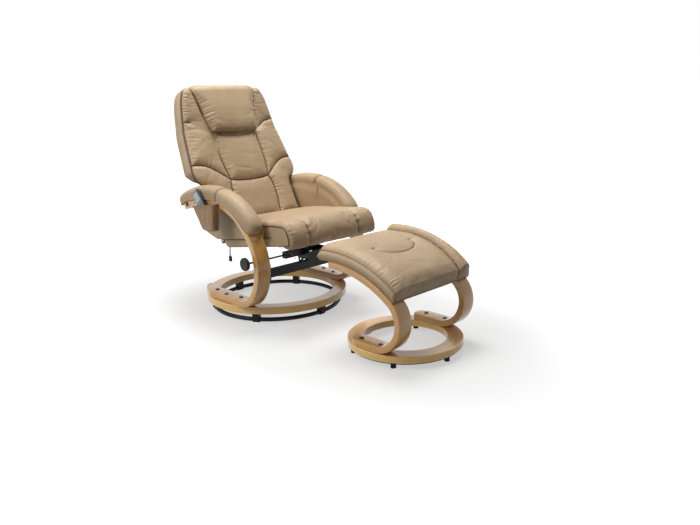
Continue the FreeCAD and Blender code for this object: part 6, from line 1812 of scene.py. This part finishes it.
pouch_row = front_sheet[9, 4:-4] + [-0.0004, 0, 0]
pouch_side = np.vstack([front_sheet[12:-4, 3], front_sheet[-5, 4:-4], front_sheet[-5:12:-1, -4]])
stitched("pouch_stitches", [pouch_row, pouch_side + [-0.0003, 0, 0]], "chair_frame")
stitched("arm_panel_stitches", [panel_ring(11, inner + 1.1, side) for side in (-1, 1)], "chair_frame")
rear_rows = []
for share_in in (0.955, 0.935):
    loop = rear_heart + (closed_outline(-12, REAR_DEPTH, -222) - rear_heart) * share_in
    rear_rows.append(on_back(loop[:, 0], REAR_DEPTH + 1.3, loop[:, 1]))
stitched("rear_panel_stitches", rear_rows, "back")

# %% [markdown]
# ## Spring wire
# A thin bent wire hooks over the clamp tube and keeps the knob's rod from rattling.

# %% Spring wire
wire_route = [(-128, -238, 314), (-122, -250, 310), (-112, -260, 298), (-104, -262, 284),
              (-96, -258, 276), (-84, -250, 278)]
clip = swept("clamp_spring_wire", [smooth_line([chair(*place) for place in wire_route], 60)], 1.3 * MM)
dress(clip, "chair_frame", "spring_steel", finishes["spring_steel"])
print("spring wire points", len(clip.data.vertices))

# %% [markdown]
# ## Light and floor
# One soft lamp hangs above the chair and a bigger one stands high at the camera's left, so that
# tops are bright and fronts are dark. A very weak third lamp fills. The floor is pale and keeps the
# shadow. To the camera and to mirrors the sky is white, and so is the floor further away. Near the
# chair the floor glows less, and this paints a broad, soft grey shadow round it.

# %% Floor
NEAR_GLOW, FLOOR_REACH = 0.52, 30


def directly_seen(tree):
    """1 for the camera, for mirrors and through glass, and 0 for light on the chair."""
    rays = tree.nodes.new("ShaderNodeLightPath").outputs
    return maths(tree, "MAXIMUM", maths(tree, "MAXIMUM", rays["Is Camera Ray"],
                                        rays["Is Glossy Ray"]), rays["Is Transmission Ray"])


floor_corners = [(x * FLOOR_REACH, y * FLOOR_REACH, 0) for x, y in ((-1, -1), (1, -1), (1, 1), (-1, 1))]
floor = mesh_piece("floor", floor_corners, [(0, 1, 2, 3)], smooth=False)
floor_finish, tree, shader = finish("floor", Roughness=0.9, Specular_IOR_Level=0.1,
                                    Base_Color=(0.31, 0.31, 0.31, 1), Emission_Color=WHITE)
squeezed = add(tree, "Mapping", {"Vector": here(tree), "Location": (0.0, 0.06, 0.0),
                                 "Scale": (1.0, 0.62, 1.0)})
away = add(tree, "VectorMath", {0: squeezed}, output=1, operation="LENGTH")
# painted shadow: the floor's glow is weakest near the chair, for a soft grey halo round it
glow = ranged(tree, away, 0.40, 1.1, NEAR_GLOW, 1.0, interpolation_type="SMOOTHSTEP")
fed(tree, shader.inputs["Emission Strength"], maths(tree, "MULTIPLY", directly_seen(tree), glow))
floor.data.materials.append(floor_finish)
floor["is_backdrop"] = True
print("floor ready")

# %% [markdown]
# The world is white to the eye too, and lights the chair only weakly, so that the lamps model it.

# %% Sky
WORLD_LIGHT = 0.15
world = bpy.data.worlds.new("studio")
bpy.context.scene.world = world
world.use_nodes = True
tree = world.node_tree
tree.nodes.clear()
strength = maths(tree, "MULTIPLY_ADD", directly_seen(tree), 1.0 - WORLD_LIGHT, WORLD_LIGHT)
sky = add(tree, "Background", {"Color": WHITE, "Strength": strength})
add(tree, "OutputWorld", {0: sky}, output=slice(0))
bpy.context.scene.view_settings.view_transform = "Standard"
print("sky ready")

# %% [markdown]
# The lamp above makes the shadow under the rings, and the one at the left shapes the leather.

# %% Lamps
LAMP_TARGET = (0, -0.25, 0.45)
for name, place, watts, size in (("top", (0.3, 0.1, 3.4), 110, 1.4),
                                 ("left", (-3.0, 0.6, 2.5), 80, 1.8),
                                 ("fill", (2.6, -3.0, 1.6), 1, 2.6)):
    lamp = bpy.data.lights.new(name, "AREA")
    lamp.energy, lamp.size = watts, size
    aimed(placed(name, lamp), place, LAMP_TARGET)
    print(name, watts, "W")

# %% [markdown]
# ## Sizes and closing
# The bounds of the dressed chair, without the floor, are printed.

# %% Print the sizes
low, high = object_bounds()
print("visual", [round(v, 4) for v in (*low, *high)])
